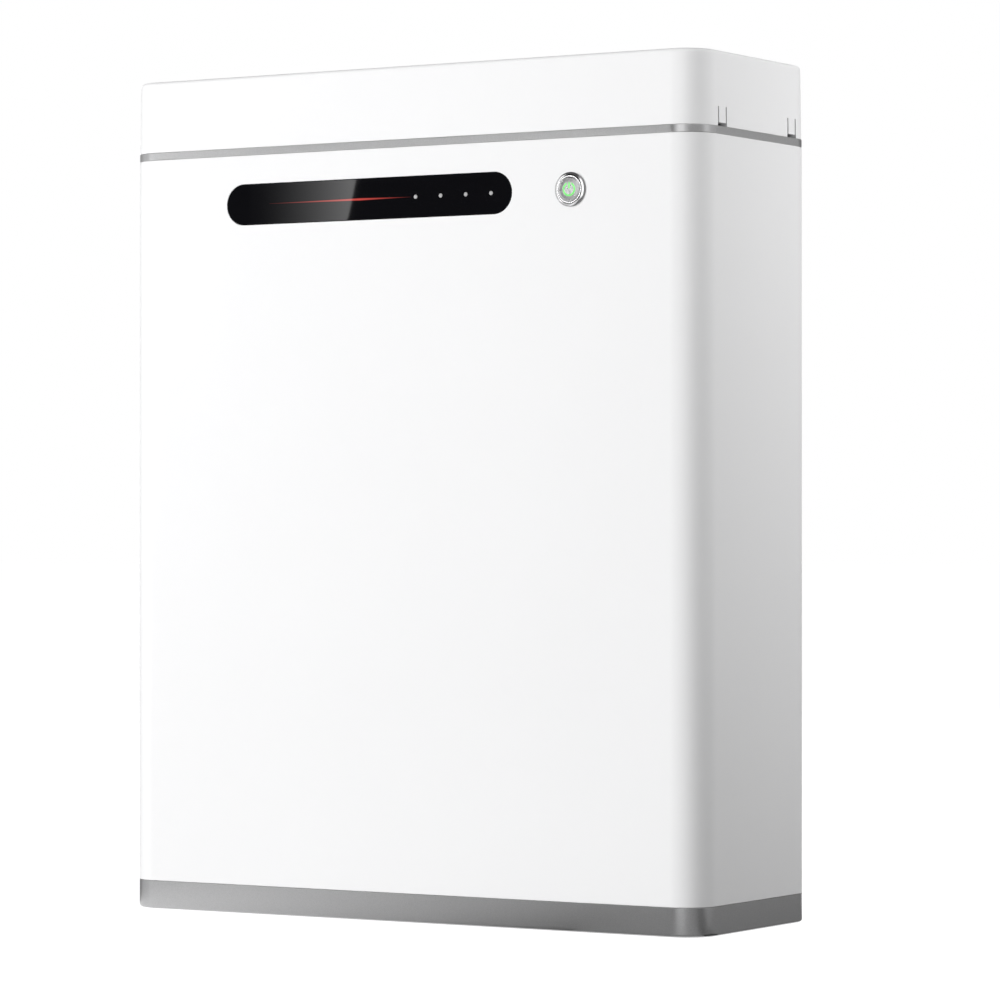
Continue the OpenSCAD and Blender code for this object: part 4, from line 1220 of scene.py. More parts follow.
@dataclass
class Case:
    """The folded white case with its rear panel, grey base and grey band."""

    shell: Span = Span.of("body_shell")
    base: Span = Span.of("base_tray")
    band: Span = Span.of("trim_band")
    panel: Span = Span.of("back_panel")
    window: Span = Span.of("display_window")
    corner: float = 22.0
    wall: float = 1.5
    flange: float = 16.0
    fold: float = 0.5
    seat_w: float = 14.0
    seat_lap: float = 4.0
    panel_gap: float = 0.5
    base_wall: float = 3.0
    base_edge: float = 2.0
    window_rim: float = 5.0
    barrel_r: float = 9.55
    boss_r: float = 7.0
    sunk_r: float = 4.6
    sunk_deep: float = 6.0
    rib_half: float = 1.25
    rib_gap: float = 1.5
    base_screw_side: float = 38.0
    base_screw_in: float = 9.0
    panel_screw_in: float = 7.0
    deck_screw_in: float = 10.5
    band_t: float = 3.2
    band_edge: float = 0.4
    ledge_out: float = 3.0
    ledge_in: float = 14.5
    ledge_t: float = 1.5
    half_x: float = 0.0
    half_y: float = 0.0
    middle_y: float = 0.0

    def __post_init__(self) -> None:
        """Takes the outline from the frame."""
        width, depth, _ = self.shell.size
        self.half_x, self.half_y, self.middle_y = width / 2, depth / 2, self.shell.middle[1]

    def ring(self, inset: float, z: float, steps: int = 24) -> list[Vector]:
        """The case's outline, moved in by inset, at a height.

        Args:
            inset: How far inside the case it runs.
            z: Its height.
            steps: Straight pieces in each corner.

        Returns:
            Its points.
        """
        corner = max(self.corner - inset, 1.0)
        outline = rounded(self.half_x - inset, self.half_y - inset, corner, steps)
        return [Vector((x, y + self.middle_y, z)) for x, y in outline]

    def folded_shell(self) -> Object:
        """The wrapped sheet: walls with folded-in flanges, open for window, switch and rear panel.

        Returns:
            The piece.
        """
        z0, z1, t, f = self.shell.z0, self.shell.z1, self.wall, self.fold
        profile = [(self.flange, z0)]
        profile += [(u, z0 + v) for u, v in rounding(f, THREE_FACETS)]
        profile += [(v, z1 - u) for u, v in rounding(f, THREE_FACETS)]
        profile += [(self.flange, z1), (self.flange, z1 - t), (t, z1 - t), (t, z0 + t), (self.flange, z0 + t)]
        shell = Solid().loft([self.ring(inset, z) for inset, z in profile], closed=True).made("case_shell")
        rear, gap, back = self.panel, self.panel_gap, self.shell.y1
        across, up = (rear.x0 - gap, rear.x1 + gap), (rear.z0 - gap, rear.z1 + gap)
        opening = Solid().block(*across, back - t - 1, back + 1, *up)
        length, _, high = self.window.size
        slot = stadium(length - 2 * self.window_rim, high - 2 * self.window_rim)
        cuts = []
        for box, outline in ((self.window, slot), (SWITCH, disc(self.barrel_r, 48))):
            x, _, z = box.middle
            cuts.append(Solid().prism(outline, -1.0, t + 1.0, facing(x, self.shell.y0 + t, z, Side.FRONT)))
        return softened(carved(shell, opening, *cuts), 0.25, 2, 50.0)

    def opening_half(self) -> Point2:
        """Half of the rear opening's width, and of its height."""
        width, _, height = self.panel.size
        return width / 2 + self.panel_gap, height / 2 + self.panel_gap

    def rear_seat(self) -> Object:
        """The stepped frame that carries the rear panel.

        Returns:
            The piece.
        """
        t, lap, wide = self.wall, self.seat_lap, self.seat_w
        half_x, half_z = self.opening_half()
        low, high = Span.of("panel_gasket").y0, self.shell.y1 - t
        section = [(lap, high), (lap, low - t), (-wide, low - t), (-wide, low), (0.0, low), (0.0, high)]
        x, _, z = self.panel.middle
        rings = []
        for grow, y in section:
            outline = rounded(half_x + grow, half_z + grow, max(3.0 + grow, 1.0), 6)
            rings.append(upright(outline, x, y, z))
        return softened(Solid().loft(rings, closed=True).made("case_rear_seat"), 0.2)

    def base_casting(self) -> Object:
        """The cast tray: a rounded lower edge, screw bosses and ribs, and sunk screw seats.

        Returns:
            The piece.
        """
        low, high, w, half = self.base.z0, self.base.z1, self.base_wall, self.rib_half
        outer = [(0.35, high), (0.0, high - 0.35)]
        outer += [(v, low + u) for u, v in rounding(self.base_edge, FOUR_FACETS)]
        rings = [self.ring(w, low + w), self.ring(w, high - 0.3), self.ring(w - 0.3, high)]
        tray = Solid().loft(rings + [self.ring(inset, z) for inset, z in outer])
        points = self.base_points()
        for x, y in points:
            tray.prism(around(x, y, disc(self.boss_r, 32)), low + 0.4, high - 0.05)
        front, rear = self.shell.y0 + self.rib_gap, self.shell.y1 - self.rib_gap
        for x in sorted({x for x, _ in points}):
            tray.block(x - half, x + half, front, rear, low + 0.5, high - 2)
        side, y = self.half_x - self.rib_gap, self.middle_y
        tray.block(-side, side, y - half, y + half, low + 0.6, high - 2)
        seats = Solid()
        for x, y in points:
            seats.prism(around(x, y, disc(self.sunk_r, 32)), low - 1.0, low + self.sunk_deep)
        return softened(carved(tray.made("base_casting"), seats), 0.3, 2, 50.0)

    def base_points(self) -> list[Point2]:
        """Where the base's screws stand."""
        columns, deep = evenly(4, self.half_x - self.base_screw_side), self.half_y - self.base_screw_in
        return [(x, self.middle_y + s * deep) for x in columns for s in (-1, 1)]

    def band_ring(self) -> Object:
        """The band's visible ring: a softly edged section swept along the case's outline.

        Returns:
            The piece.
        """
        tree, thick = Pattern("band_ring"), self.band_t
        width = tree.length("Width", 2 * self.half_x - thick)
        depth = tree.length("Depth", 2 * self.half_y - thick)
        path = tree.framed(width, depth, tree.length("Corner radius", self.corner - thick / 2), 24)
        sides = tree.length("Thickness", thick), tree.length("Height", self.band.size[2])
        section = tree.framed(*sides, tree.length("Edge radius", self.band_edge), 4)
        ring = tree.moved(tree.swept(path, section), (0.0, self.middle_y, self.band.middle[2]))
        return softened(tree.built(ring, finish_of("trim_band")), 0.0)

    def band_ledge(self) -> Object:
        """The ledge inside the band, which the deck rests on.

        Returns:
            The piece.
        """
        low, high = self.band.z0, self.band.z0 + self.ledge_t
        profile = [(self.ledge_out, low), (self.ledge_in, low), (self.ledge_in, high), (self.ledge_out, high)]
        rings = [self.ring(inset, height) for inset, height in profile]
        return softened(Solid().loft(rings, closed=True).made("band_ledge"), 0.2)

    def panel_points(self) -> list[Point2]:
        """Where the rear panel's screws stand.

        Returns:
            Their places along X and Z.
        """
        x0, _, z0 = self.panel.middle
        px, pz = (half - self.panel_screw_in for half in self.opening_half())
        points = [(x0 + s * px, z0 + z) for s in (-1, 1) for z in evenly(5, pz)]
        return points + [(x0 + x, z0 + s * pz) for x in (-px / 2, 0.0, px / 2) for s in (-1, 1)]

    def build(self) -> None:
        """Builds the case, the base and the band with their screws."""
        placed(self.folded_shell(), "body_shell")
        added(self.rear_seat(), "body_shell")
        refined(0.3, "back_panel")
        kept("panel_gasket", "chassis_floor", "deck_gasket")
        placed(self.base_casting(), "base_tray")
        placed(self.band_ring(), "trim_band")
        added(self.band_ledge(), "trim_band")
        screw = Fastener(3.6, 2.4, 2.0, 6.0)
        rear = [(x, self.shell.y1, z) for x, z in self.panel_points()]
        screw.fitted("panel_screws", "case_screws", rear, TO_REAR)
        deck = Span.of("terminal_deck")
        half_x, half_y = self.half_x - self.deck_screw_in, self.half_y - self.deck_screw_in
        columns = evenly(5, half_x - self.corner - 10.0)
        points = [(x, self.middle_y + s * half_y) for x in columns for s in (-1, 1)]
        points += [(s * half_x, self.middle_y) for s in (-1, 1)]
        screw.fitted("deck_screws", "case_screws", [(x, y, deck.z1) for x, y in points], UP, stands_for=False)
        under = [(x, y, self.base.z0 + self.sunk_deep) for x, y in self.base_points()]
        Fastener(4.3, 4.0, 2.5, 14.0, Drive.HEX).fitted("base_feet_screws", "base_screws", under, DOWN)


# ---- Lid ----


@dataclass
class Lid:
    """The white lid with its snap tongues, stiffening ribs and rubber-edged cable outlet."""

    case: Case
    box: Span = Span.of("top_lid")
    grommet: Span = Span.of("cable_grommet")
    base_z: float = Span.of("trim_band").z1
    inset: float = 0.3
    lean: float = 0.6
    wall: float = 2.5
    edge: float = 3.0
    lip_in: float = 3.5
    lip_t: float = 1.6
    lip_up: float = 4.2
    tongue_w: float = 8.6
    tongue_h: float = 12.5
    tongue_gap: float = 2.2
    slot_w: float = 1.6
    spread: float = 94.0
    outlet_len: float = 110.0
    outlet_h: float = 24.0
    outlet_up: float = 21.0
    flange: float = 3.0
    rib_t: float = 1.8
    rib_h: float = 5.4
    rib_sunk: float = 0.6
    barb_out: float = 2.1
    barb_overlap: float = 0.4
    barb_slope: float = 1.4
    barb_h: float = 2.0
    barb_up: float = 4.0
    barb_half: float = 3.0
    rubber_in: float = 2.5
    groove: float = 0.95
    lip: float = 1.5

    def cup_rings(self) -> Rings:
        """The rings of the lid's skin, from the middle of its ceiling round the rim to its top.

        Returns:
            The rings.
        """
        low, top = self.base_z, self.box.z1
        fine, coarse = ([pi / 2 * k / steps for k in range(steps + 1)] for steps in (8, 4))
        outer = [(self.inset + 0.3, low), (self.inset, low + 0.3)]
        outer += [(self.inset + self.lean + v, top - u) for u, v in rounding(self.edge, fine)]
        outer.append((self.inset + self.lean + self.edge + 1.5, top))
        within = self.inset + self.wall + self.lean
        inner = [(within + v, top - self.wall - u) for u, v in rounding(self.edge, coarse)]
        inner = inner[::-1] + [(self.inset + self.wall, low)]
        return [self.case.ring(inset, z) for inset, z in inner + outer]

    def tongues(self) -> list[tuple[int, float]]:
        """Each tongue's side, -1 for the left, and its place along Y."""
        return [(side, self.case.middle_y + s * self.spread / 2) for side in (-1, 1) for s in (-1, 1)]

    def shell(self) -> Object:
        """The skin with its tongue slots and the cable outlet cut out.

        Returns:
            The piece.
        """
        skin, z = Solid().loft(self.cup_rings()), self.base_z
        a, b = self.lip_in, self.lip_in + self.lip_t
        low, high, join = self.box.z0, z + self.lip_up, z + 0.3
        lip = [(a - 1.0, join), (a, join), (a, low), (b, low), (b, high), (a - 1.0, high)]
        skin.loft([self.case.ring(inset, height) for inset, height in lip], closed=True)
        tools = Solid()
        reach, half, cut = self.case.half_x, (self.tongue_w + self.slot_w) / 2, self.slot_w / 2
        low, neck, tip = self.box.z0 - 1.0, z + self.tongue_gap, z + self.tongue_h
        for side, y in self.tongues():
            ends = sorted((side * (reach - self.lip_in - self.lip_t - 1.0), side * (reach + 1.0)))
            left, right = y - half, y + half
            outline = [
                (left - cut, low), (right + cut, low), (right + cut, tip), (right - cut, tip),
                (right - cut, neck), (left + cut, neck), (left + cut, tip), (left - cut, tip),
            ]
            tools.loft([[Vector((x, py, pz)) for py, pz in outline] for x in ends])
        place = facing(self.grommet.middle[0], self.case.shell.y1, z + self.outlet_up, Side.REAR)
        outlet = Solid().prism(stadium(self.outlet_len, self.outlet_h), -12.0, 4.0, place)
        return softened(carved(skin.made("lid_shell"), tools, outlet), 0.25, 2, 50.0)

    def barbs(self) -> Object:
        """The wedges on the tongues that snap under the catches.

        Returns:
            The piece.
        """
        barbs = Solid()
        x1 = self.case.half_x - self.inset - self.wall + self.barb_overlap
        x0, z = x1 - self.barb_out - self.barb_overlap, self.base_z + self.barb_up
        slope, high = self.barb_slope, z + self.barb_h
        for side, y in self.tongues():
            wedge = [(x1, z), (x0 + slope, z), (x0, z + slope), (x0, high), (x1, high)]
            ends = (y - self.barb_half, y + self.barb_half)
            barbs.loft([[Vector((side * px, end, pz)) for px, pz in wedge] for end in ends])
        return softened(barbs.made("lid_barbs"), 0.15)

    def ribs(self) -> Object:
        """Ribs under the lid's top: five across and two along it.

        Returns:
            The piece.
        """
        side = self.case.half_x - self.inset - self.wall - self.lean
        deep = self.case.half_y - self.inset - self.wall - self.lean
        tree = Pattern("lid_ribs")
        thick, high = tree.length("Rib thickness", self.rib_t), tree.length("Rib height", self.rib_h)
        kinds = (
            ("Cross", "X", "Y", 5, 2 * (deep - self.edge), 1.6 * side / 4),
            ("Long", "Y", "X", 2, 2 * (side - self.edge), deep),
        )
        both = tree.node("GeometryNodeJoinGeometry")
        for label, across, along, count, run, gap in kinds:
            length, pitch = tree.length(f"{label} rib length", run), tree.length(f"{label} rib pitch", gap)
            number = tree.whole(f"{label} rib count", count)
            bar = tree.vector(**{across: thick, along: length, "Z": high})
            rib = tree.node("GeometryNodeMeshCube", {}, {"Size": bar})
            start, step = tree.vector(**{across: pitch * (number - 1) * -0.5}), tree.vector(**{across: pitch})
            inputs = {"Count": number, "Start Location": start, "Offset": step}
            line = tree.node("GeometryNodeMeshLine", {}, inputs)
            tree.feed(both.socket.node.inputs[0], tree.copies(line, rib))
        z = self.box.z1 - self.wall - self.rib_h / 2 + self.rib_sunk
        ribs = tree.moved(both, (0.0, self.case.middle_y, z))
        return softened(tree.built(ribs, finish_of("top_lid")), 0.25)

    def rubber_edge(self) -> Object:
        """The grommet: a lipped rubber section swept round the outlet.

        Returns:
            The piece.
        """
        tree, width = Pattern("outlet_grommet"), self.outlet_h - self.rubber_in
        length = tree.length("Outlet length", self.outlet_len - self.rubber_in)
        high, end = tree.length("Outlet height", width), tree.length("End radius", width / 2 - 0.01)
        path = tree.framed(length, high, end, 20)
        outer, groove, half = self.rubber_in / 2 + self.flange, self.groove, self.grommet.size[1] / 2
        near = [(-1.05, 0.7), (-0.5, 0.0), (outer - 0.6, 0.0), (outer, 0.6)]
        near += [(outer, self.lip), (groove, self.lip)]
        section = [(across, -half + deep) for across, deep in near]
        section += [(across, half - deep) for across, deep in reversed(near)] + [(-self.rubber_in / 2, 0.0)]
        line = self.profile_curve("grommet_section", section)
        drawn = {"Object": tree.size("Section", line, "NodeSocketObject")}
        shape = tree.node("GeometryNodeObjectInfo", {}, drawn, "Geometry")
        x, y, _ = self.grommet.middle
        place = (x, y, self.base_z + self.outlet_up)
        edge = tree.moved(tree.swept(path, shape), place, (pi / 2, 0.0, 0.0))
        obj = softened(tree.built(edge, finish_of("cable_grommet")), 0.0, angle=40.0)
        bpy.data.objects.remove(line)
        return obj

    @staticmethod
    def profile_curve(name: str, points: Sequence[Point2]) -> Object:
        """A closed curve through points, in millimetres.

        Args:
            name: The curve's name.
            points: Its points.

        Returns:
            The curve.
        """
        curve = bpy.data.curves.new(name, "CURVE")
        spline = curve.splines.new("POLY")
        spline.points.add(len(points) - 1)
        for target, (x, y) in zip(spline.points, points):
            target.co = (x * MM, y * MM, 0.0, 1.0)
        spline.use_cyclic_u = True
        return linked(name, curve)

    def build(self) -> None:
        """Builds the lid and its grommet."""
        placed(self.shell(), "top_lid")
        added(self.barbs(), "top_lid")
        added(self.ribs(), "top_lid")
        placed(self.rubber_edge(), "cable_grommet")


# ---- Display and power switch ----


@dataclass
class Display:
    """The gloss black window with its charge dots and the red status line."""

    case: Case
    line: Span = LINE
    dots: Span = Span.of("charge_dots")
    dot_d: float = 2.9
    dot_count: int = 4
    edge: float = 0.35
    gap: float = 0.2
    light_gap: float = 0.03

    def window_plate(self) -> Object:
        """The window: a stadium of clear-edged black glass with a wider rim behind the case's wall.

        Returns:
            The piece.
        """
        window, rim = self.case.window, self.case.window_rim
        x, _, z = window.middle
        length, high = (window.size[axis] - 2 * rim - 2 * self.gap for axis in (0, 2))
        rim_front = Span.of("display_gasket").y1
        section = [(-inset, window.y0 + depth) for depth, inset in rounding(self.edge, THREE_FACETS[::-1])]
        section += [(0.0, rim_front), (self.gap + rim, rim_front), (self.gap + rim, window.y1)]
        rings = []
        for grow, y in section:
            outline = rounded(length / 2 + grow, high / 2 + grow, high / 2 + grow - 1e-3, 20)
            rings.append(upright(outline, x, y, z))
        plate = Solid().loft(rings).made("window_plate")
        holes, loose = Solid(), self.light_gap
        for dot_x in self.dot_places():
            holes.prism(disc(self.dot_d / 2 + loose, 32), -12.0, 3.0, facing(dot_x, window.y0, z, Side.FRONT))
        line_x, _, line_z = self.line.middle
        slot = stadium(self.line.size[0] + 2 * loose, self.line.size[2] + 2 * loose, 8)
        holes.prism(slot, -12.0, 3.0, facing(line_x, window.y0, line_z, Side.FRONT))
        return softened(carved(plate, holes), 0.0, angle=50.0)

    def dot_places(self) -> list[float]:
        """The middles of the dots."""
        low, high = self.dots.x0 + self.dot_d / 2, self.dots.x1 - self.dot_d / 2
        return [low + (high - low) * k / (self.dot_count - 1) for k in range(self.dot_count)]

    def light_dots(self) -> Object:
        """The four dots: light pipes with slightly domed ends.

        Returns:
            The piece.
        """
        r, y0, y1 = self.dot_d / 2, self.dots.y0, self.dots.y1
        pipe = [(0.0, y0 - y1), (r, y0 - y1), (r, -0.2), (r * 0.86, -0.06), (r * 0.5, -0.01), (0.0, 0.0)]
        unit = Solid().lathe(pipe, HERE, 32).made("light_dot_unit")
        softened(unit, 0.0, angle=60.0)
        points = [(x, y0, self.dots.middle[2]) for x in self.dot_places()]
        return scattered("light_dots", unit, points, TO_FRONT, finish_of("charge_dots"))

    def light_line(self) -> Object:
        """The status line's light pipe, flush with the window.

        Returns:
            The piece.
        """
        x, _, z = self.line.middle
        length, deep, high = self.line.size
        outline = stadium(length, high, 8)
        pipe = Solid().prism(outline, -deep, 0.0, facing(x, self.line.y0, z, Side.FRONT))
        return softened(pipe.made("light_line"), 0.0)

    def build(self) -> None:
        """Builds the window and its lights, and dresses what stands behind it."""
        placed(self.window_plate(), "display_window")
        placed(self.light_dots(), "charge_dots")
        placed(self.light_line(), "status_line")
        refined(0.3, "display_bracket")
        refined(0.0, "display_cable")
        refined(0.15, "indicator_leds", "display_board")
        kept("display_gasket")


@dataclass
class PowerSwitch:
    """The round metal push switch with its lit power symbol."""

    case: Case
    body: Span = Span.of("switch_body")
    button: Span = SWITCH
    symbol: Span = Span.of("switch_symbol")
    bezel_r: float = 11.1
    barrel_r: float = 9.5
    button_r: float = 7.9
    collar_r: float = 8.7
    lip: float = 4.0
    slope_deg: float = 22.0
    symbol_r: float = 4.0
    symbol_half: float = 0.6
    symbol_gap: float = 1.7
    bar_half: float = 2.0
    spring_share: float = 0.82

    def at(self) -> Matrix:
        """The switch's own frame: Z points out of the case, from the front face."""
        x, _, z = self.button.middle
        return facing(x, self.case.shell.y0, z, Side.FRONT)

    def bezel(self) -> Object:
        """The bezel and the barrel: a sloped bright ring inside a chamfered edge.

        Returns:
            The piece.
        """
        top = self.case.shell.y0 - self.body.y0
        deep = self.case.shell.y0 - self.body.y1
        bore, seat = self.button_r + 0.06, deep + 1.0
        edge = top - 1.25 * tan(radians(self.slope_deg))
        profile = [
            (bore, top - 0.3), (bore + 0.1, top - 0.08), (bore + 0.3, top), (self.bezel_r - 1.75, top),
            (self.bezel_r - 0.5, edge), (self.bezel_r - 0.15, edge - 0.3), (self.bezel_r, edge - 0.6),
            (self.bezel_r, 0.12), (self.bezel_r - 0.12, 0.0),
            (self.barrel_r, 0.0), (self.barrel_r, -2.0), (self.barrel_r - 0.3, -2.3),
            (self.barrel_r - 0.3, deep + 0.6), (self.barrel_r - 0.9, deep), (0.0, deep), (0.0, seat),
            (self.collar_r + 0.05, seat),
            (self.collar_r + 0.05, -self.lip), (bore, -self.lip),
        ]
        on_axis = profile.index((0.0, deep))
        ordered = profile[on_axis + 1:] + profile[:on_axis + 1]
        return softened(Solid().lathe(ordered, self.at(), 96).made("switch_bezel"), 0.0, angle=40.0)

    def push_button(self) -> Object:
        """The button: a shallow dish with a rounded rim, and the symbol sunk in it.

        Returns:
            The piece.
        """
        front = self.case.shell.y0
        top, back = front - self.button.y0, front - self.button.y1
        r, collar = self.button_r, self.collar_r
        profile = [
            (0.0, back), (collar - 0.3, back), (collar, back + 0.3), (collar, -self.lip), (r, -self.lip),
            (r, top - 0.7), (r - 0.2, top - 0.25), (r - 0.6, top - 0.03), (r - 0.9, top),
            (r - 1.3, top - 0.06), (r - 2.6, top - 0.16), (5.0, top - 0.2), (0.0, top - 0.2),
        ]
        button = Solid().lathe(profile, self.at(), 96).made("push_button")
        return softened(carved(button, self.symbol_solid(0.04, top - 0.52, top + 1.0)), 0.0, angle=40.0)

    def symbol_solid(self, grow: float, low: float, high: float) -> Solid:
        """The power symbol: a ring open at its top, and an upright bar.

        Args:
            grow: How much wider than the lit symbol it is drawn, all round.
            low: The height of its lower face in the switch's frame.
            high: The height of its upper face.

        Returns:
            The solid.
        """
        radius, half = self.symbol_r, self.symbol_half + grow
        gap = asin((self.symbol_gap - grow) / radius)
        angles = [pi / 2 + gap + (tau - 2 * gap) * k / 40 for k in range(41)]
        outline = [((radius + half) * cos(a), (radius + half) * sin(a)) for a in angles]
        outline += [((radius - half) * cos(a), (radius - half) * sin(a)) for a in reversed(angles)]
        bar = rounded(half, self.bar_half + grow, 0.2, 3)
        solid = Solid().prism(outline, low, high, self.at())
        return solid.prism([(x, y + radius - 1.5) for x, y in bar], low, high, self.at())

    def spring(self) -> Object:
        """The return spring, as short as the pressed button leaves it.

        Returns:
            The piece.
        """
        coil, back = Solid().copy_of("switch_spring"), Span.of("switch_spring").y1
        for vert in coil.bm.verts:
            vert.co.y = back + (vert.co.y - back) * self.spring_share
        return softened(coil.made("return_spring"), 0.0)

    def build(self) -> None:
        """Builds the switch's pieces."""
        top = self.case.shell.y0 - self.symbol.y0
        placed(self.bezel(), "switch_body", finish=FINISHES["bezel_chrome"])
        placed(self.push_button(), "switch_button")
        lit = self.symbol_solid(0.0, top - 0.5, top - 0.16).made("power_symbol")
        placed(softened(lit, 0.0), "switch_symbol")
        refined(0.4, "switch_nut")
        placed(self.spring(), "switch_spring")


# ---- Terminal bay ----


def thread(radius: float, depth: float, pitch: float, low: float, high: float, steps: int = 28) -> Rings:
    """The rings of a screw thread about Z, chamfered at its top.

    Args:
        radius: Its outer radius.
        depth: How deep its flanks are cut.
        pitch: The rise of one turn.
        low: Where it starts.
        high: Where it ends.
        steps: Points in each ring.

    Returns:
        The rings, from low to high.
    """
    rings = []
    rows = max(2, round((high - low) / pitch * 8))
    for row in range(rows + 1):
        z = low + (high - low) * row / rows
        ring = []
        for k in range(steps):
            turn = k / steps
            cut = depth * abs(2 * ((z / pitch - turn) % 1.0) - 1)
            r = min(radius - cut, radius - depth * 1.4 + (high - z))
            ring.append(Vector((r * cos(tau * turn), r * sin(tau * turn), z)))
        rings.append(ring)
    return rings


def hexagon(flats: float, low: float, high: float, steps: int = 72) -> Rings:
    """The rings of a hexagon whose corners are chamfered at both ends.

    Args:
        flats: Its width across flats, along X.
        low: Its lower end.
        high: Its upper end.
        steps: Points in each ring.

    Returns:
        The rings, from low to high.
    """
    rings = []
    for share in (0.0, 0.04, 0.08, 0.12, 0.5, 0.88, 0.92, 0.96, 1.0):
        z = low + (high - low) * share
        limit = flats * 0.475 + 1.9 * min(z - low, high - z)
        ring = []
        for k in range(steps):
            angle = tau * k / steps
            local = (angle + pi / 6) % (pi / 3) - pi / 6
            r = min(flats / 2 / cos(local), limit)
            ring.append(Vector((r * cos(angle), r * sin(angle), z)))
        rings.append(ring)
    return rings


def stacked(sections: Sequence[Point2], steps: int) -> Rings:
    """Round rings about Z, one for each radius and height of sections."""
    return [[Vector((x, y, z)) for x, y in disc(radius, steps)] for radius, z in sections]


def shifted(rings: Sequence[Sequence[Vector]], x: float, y: float) -> Rings:
    """The rings moved along X and Y."""
    return [[point + Vector((x, y, 0.0)) for point in ring] for ring in rings]


@dataclass
class TerminalBay:
    """What the lid covers: the deck, the breaker's nose, the studs, the network sockets and the catches."""

    deck: Span = Span.of("terminal_deck")
    breaker: Span = Span.of("breaker_body")
    ports: Span = Span.of("comms_ports")
    plus: Span = Span.of("positive_insulator")
    minus: Span = Span.of("negative_insulator")
    studs: Span = Span.of("terminal_studs")
    earth: Span = Span.of("earth_stud")
    nuts: Span = Span.of("terminal_nuts")
    plate: float = 2.0
    bushing_r: float = 9.0
    bore_r: float = 4.26
    shank_r: float = 4.2
    stud_r: float = 4.0
    nut_h: float = 6.4
    nut_flats: float = 12.8
    earth_nut_h: float = 5.0
    earth_flats: float = 10.0
    earth_r: float = 3.0
    pivot_z: float = 508.2
    tilt_deg: float = 40.0
    toggle_half: float = 3.0
    grip_start: float = 11.0
    grip_pitch: float = 1.8
    grip_half: float = 0.4
    grip_deep: float = 0.45
    seam_half: float = 0.25
    seam_deep: float = 0.5
    rib_drop: float = 13.0
    rib_pitch: float = 2.2
    rib_long: float = 18.0
    rivet_x: float = 19.5
    rivet_y: float = 17.0
    rivet_sunk: float = 1.1
    port_pitch: float = 17.0
    contact_pitch: float = 1.02
    contact_in: float = 3.1
    contact_down: float = 12.9
    wire_half: float = 0.22

    def insulator(self, node: str, box: Span) -> None:
        """A moulded block with a raised seat for the nut and a bushing through the deck.

        Args:
            node: The solid that it stands for.
            box: That solid's box.
        """
        x, y, _ = box.middle
        half, top, deck, low = box.size[0] / 2, box.z1, self.deck.z1, box.z0
        bore, bushing = self.bore_r, self.bushing_r
        section = [
            (half - 0.8, deck, 3.2), (half, deck + 0.8, 4.0), (half - 0.3, top - 0.7, 3.7),
            (half - 1.0, top, 3.0), (10.8, top, 10.79), (10.5, top - 0.9, 10.49), (8.3, top - 0.9, 8.29),
            (8.0, top, 7.99), (bore + 0.3, top, bore + 0.29), (bore, top - 0.3, bore - 0.01),
            (bore, low, bore - 0.01), (bushing - 0.5, low, bushing - 0.51),
            (bushing, low + 0.5, bushing - 0.01), (bushing, deck, bushing - 0.01),
        ]
        rings = []
        for size, z, radius in section:
            rings.append([Vector((px + x, py + y, z)) for px, py in rounded(size, size, radius, 12)])
        placed(softened(Solid().loft(rings, closed=True).made(f"{node}_block"), 0.0), node)

    def stud_rows(self) -> None:
        """The two threaded power studs, and the earth stud with its hexagon under the deck."""
        rows, y = Solid(), self.plus.middle[1]
        shank_top, low, shank = self.plus.z1 + self.nut_h, self.studs.z0, self.shank_r
        for box in (self.plus, self.minus):
            rings = stacked([(shank - 0.5, low), (shank, low + 0.5), (shank, shank_top)], 28)
            rings += thread(self.stud_r, 0.7, 1.25, shank_top + 0.05, self.studs.z1)
            rows.loft(shifted(rings, box.middle[0], y))
        placed(softened(rows.made("power_studs"), 0.0, angle=50.0), "terminal_studs")
        x, base, nut_top = self.earth.middle[0], self.deck.z1 - self.plate, self.deck.z1 + self.earth_nut_h
        bolt = Solid().loft(shifted(hexagon(self.earth_flats, self.earth.z0, base), x, y))
        shoulder = self.earth_r + 0.2
        rings = stacked([(shoulder, base - 0.5), (shoulder, nut_top)], 28)
        rings += thread(self.earth_r, 0.55, 1.0, nut_top + 0.05, self.earth.z1)
        bolt.loft(shifted(rings, x, y))
        placed(softened(bolt.made("earth_bolt"), 0.0, angle=50.0), "earth_stud")

    def nut_rows(self) -> None:
        """The chamfered nuts above and below each insulator, and the one on the earth stud."""
        nuts, y = Solid(), self.plus.middle[1]
        places = [(box.middle[0], low, self.nut_flats, self.nut_h, self.bore_r)
                  for box in (self.plus, self.minus) for low in (self.plus.z1, self.nuts.z0)]
        earth_bore = self.earth_r + 0.26
        places.append((self.earth.middle[0], self.deck.z1, self.earth_flats, self.earth_nut_h, earth_bore))
        for x, low, flats, height, bore in places:
            high = low + height
            hole = [(bore + 0.5, high), (bore, high - 0.5), (bore, low + 0.5), (bore + 0.5, low)]
            nuts.loft(shifted(hexagon(flats, low, high) + stacked(hole, 72), x, y), closed=True)
        placed(softened(nuts.made("hexagon_nuts"), 0.0, angle=25.0), "terminal_nuts")

    def rivet_places(self, side: int) -> list[Point2]:
        """Where the rivets of one side stand; side is -1 for the left."""
        x, y, _ = self.breaker.middle
        return [(x + side * self.rivet_x, y + along) for along in (-self.rivet_y, self.rivet_y)]

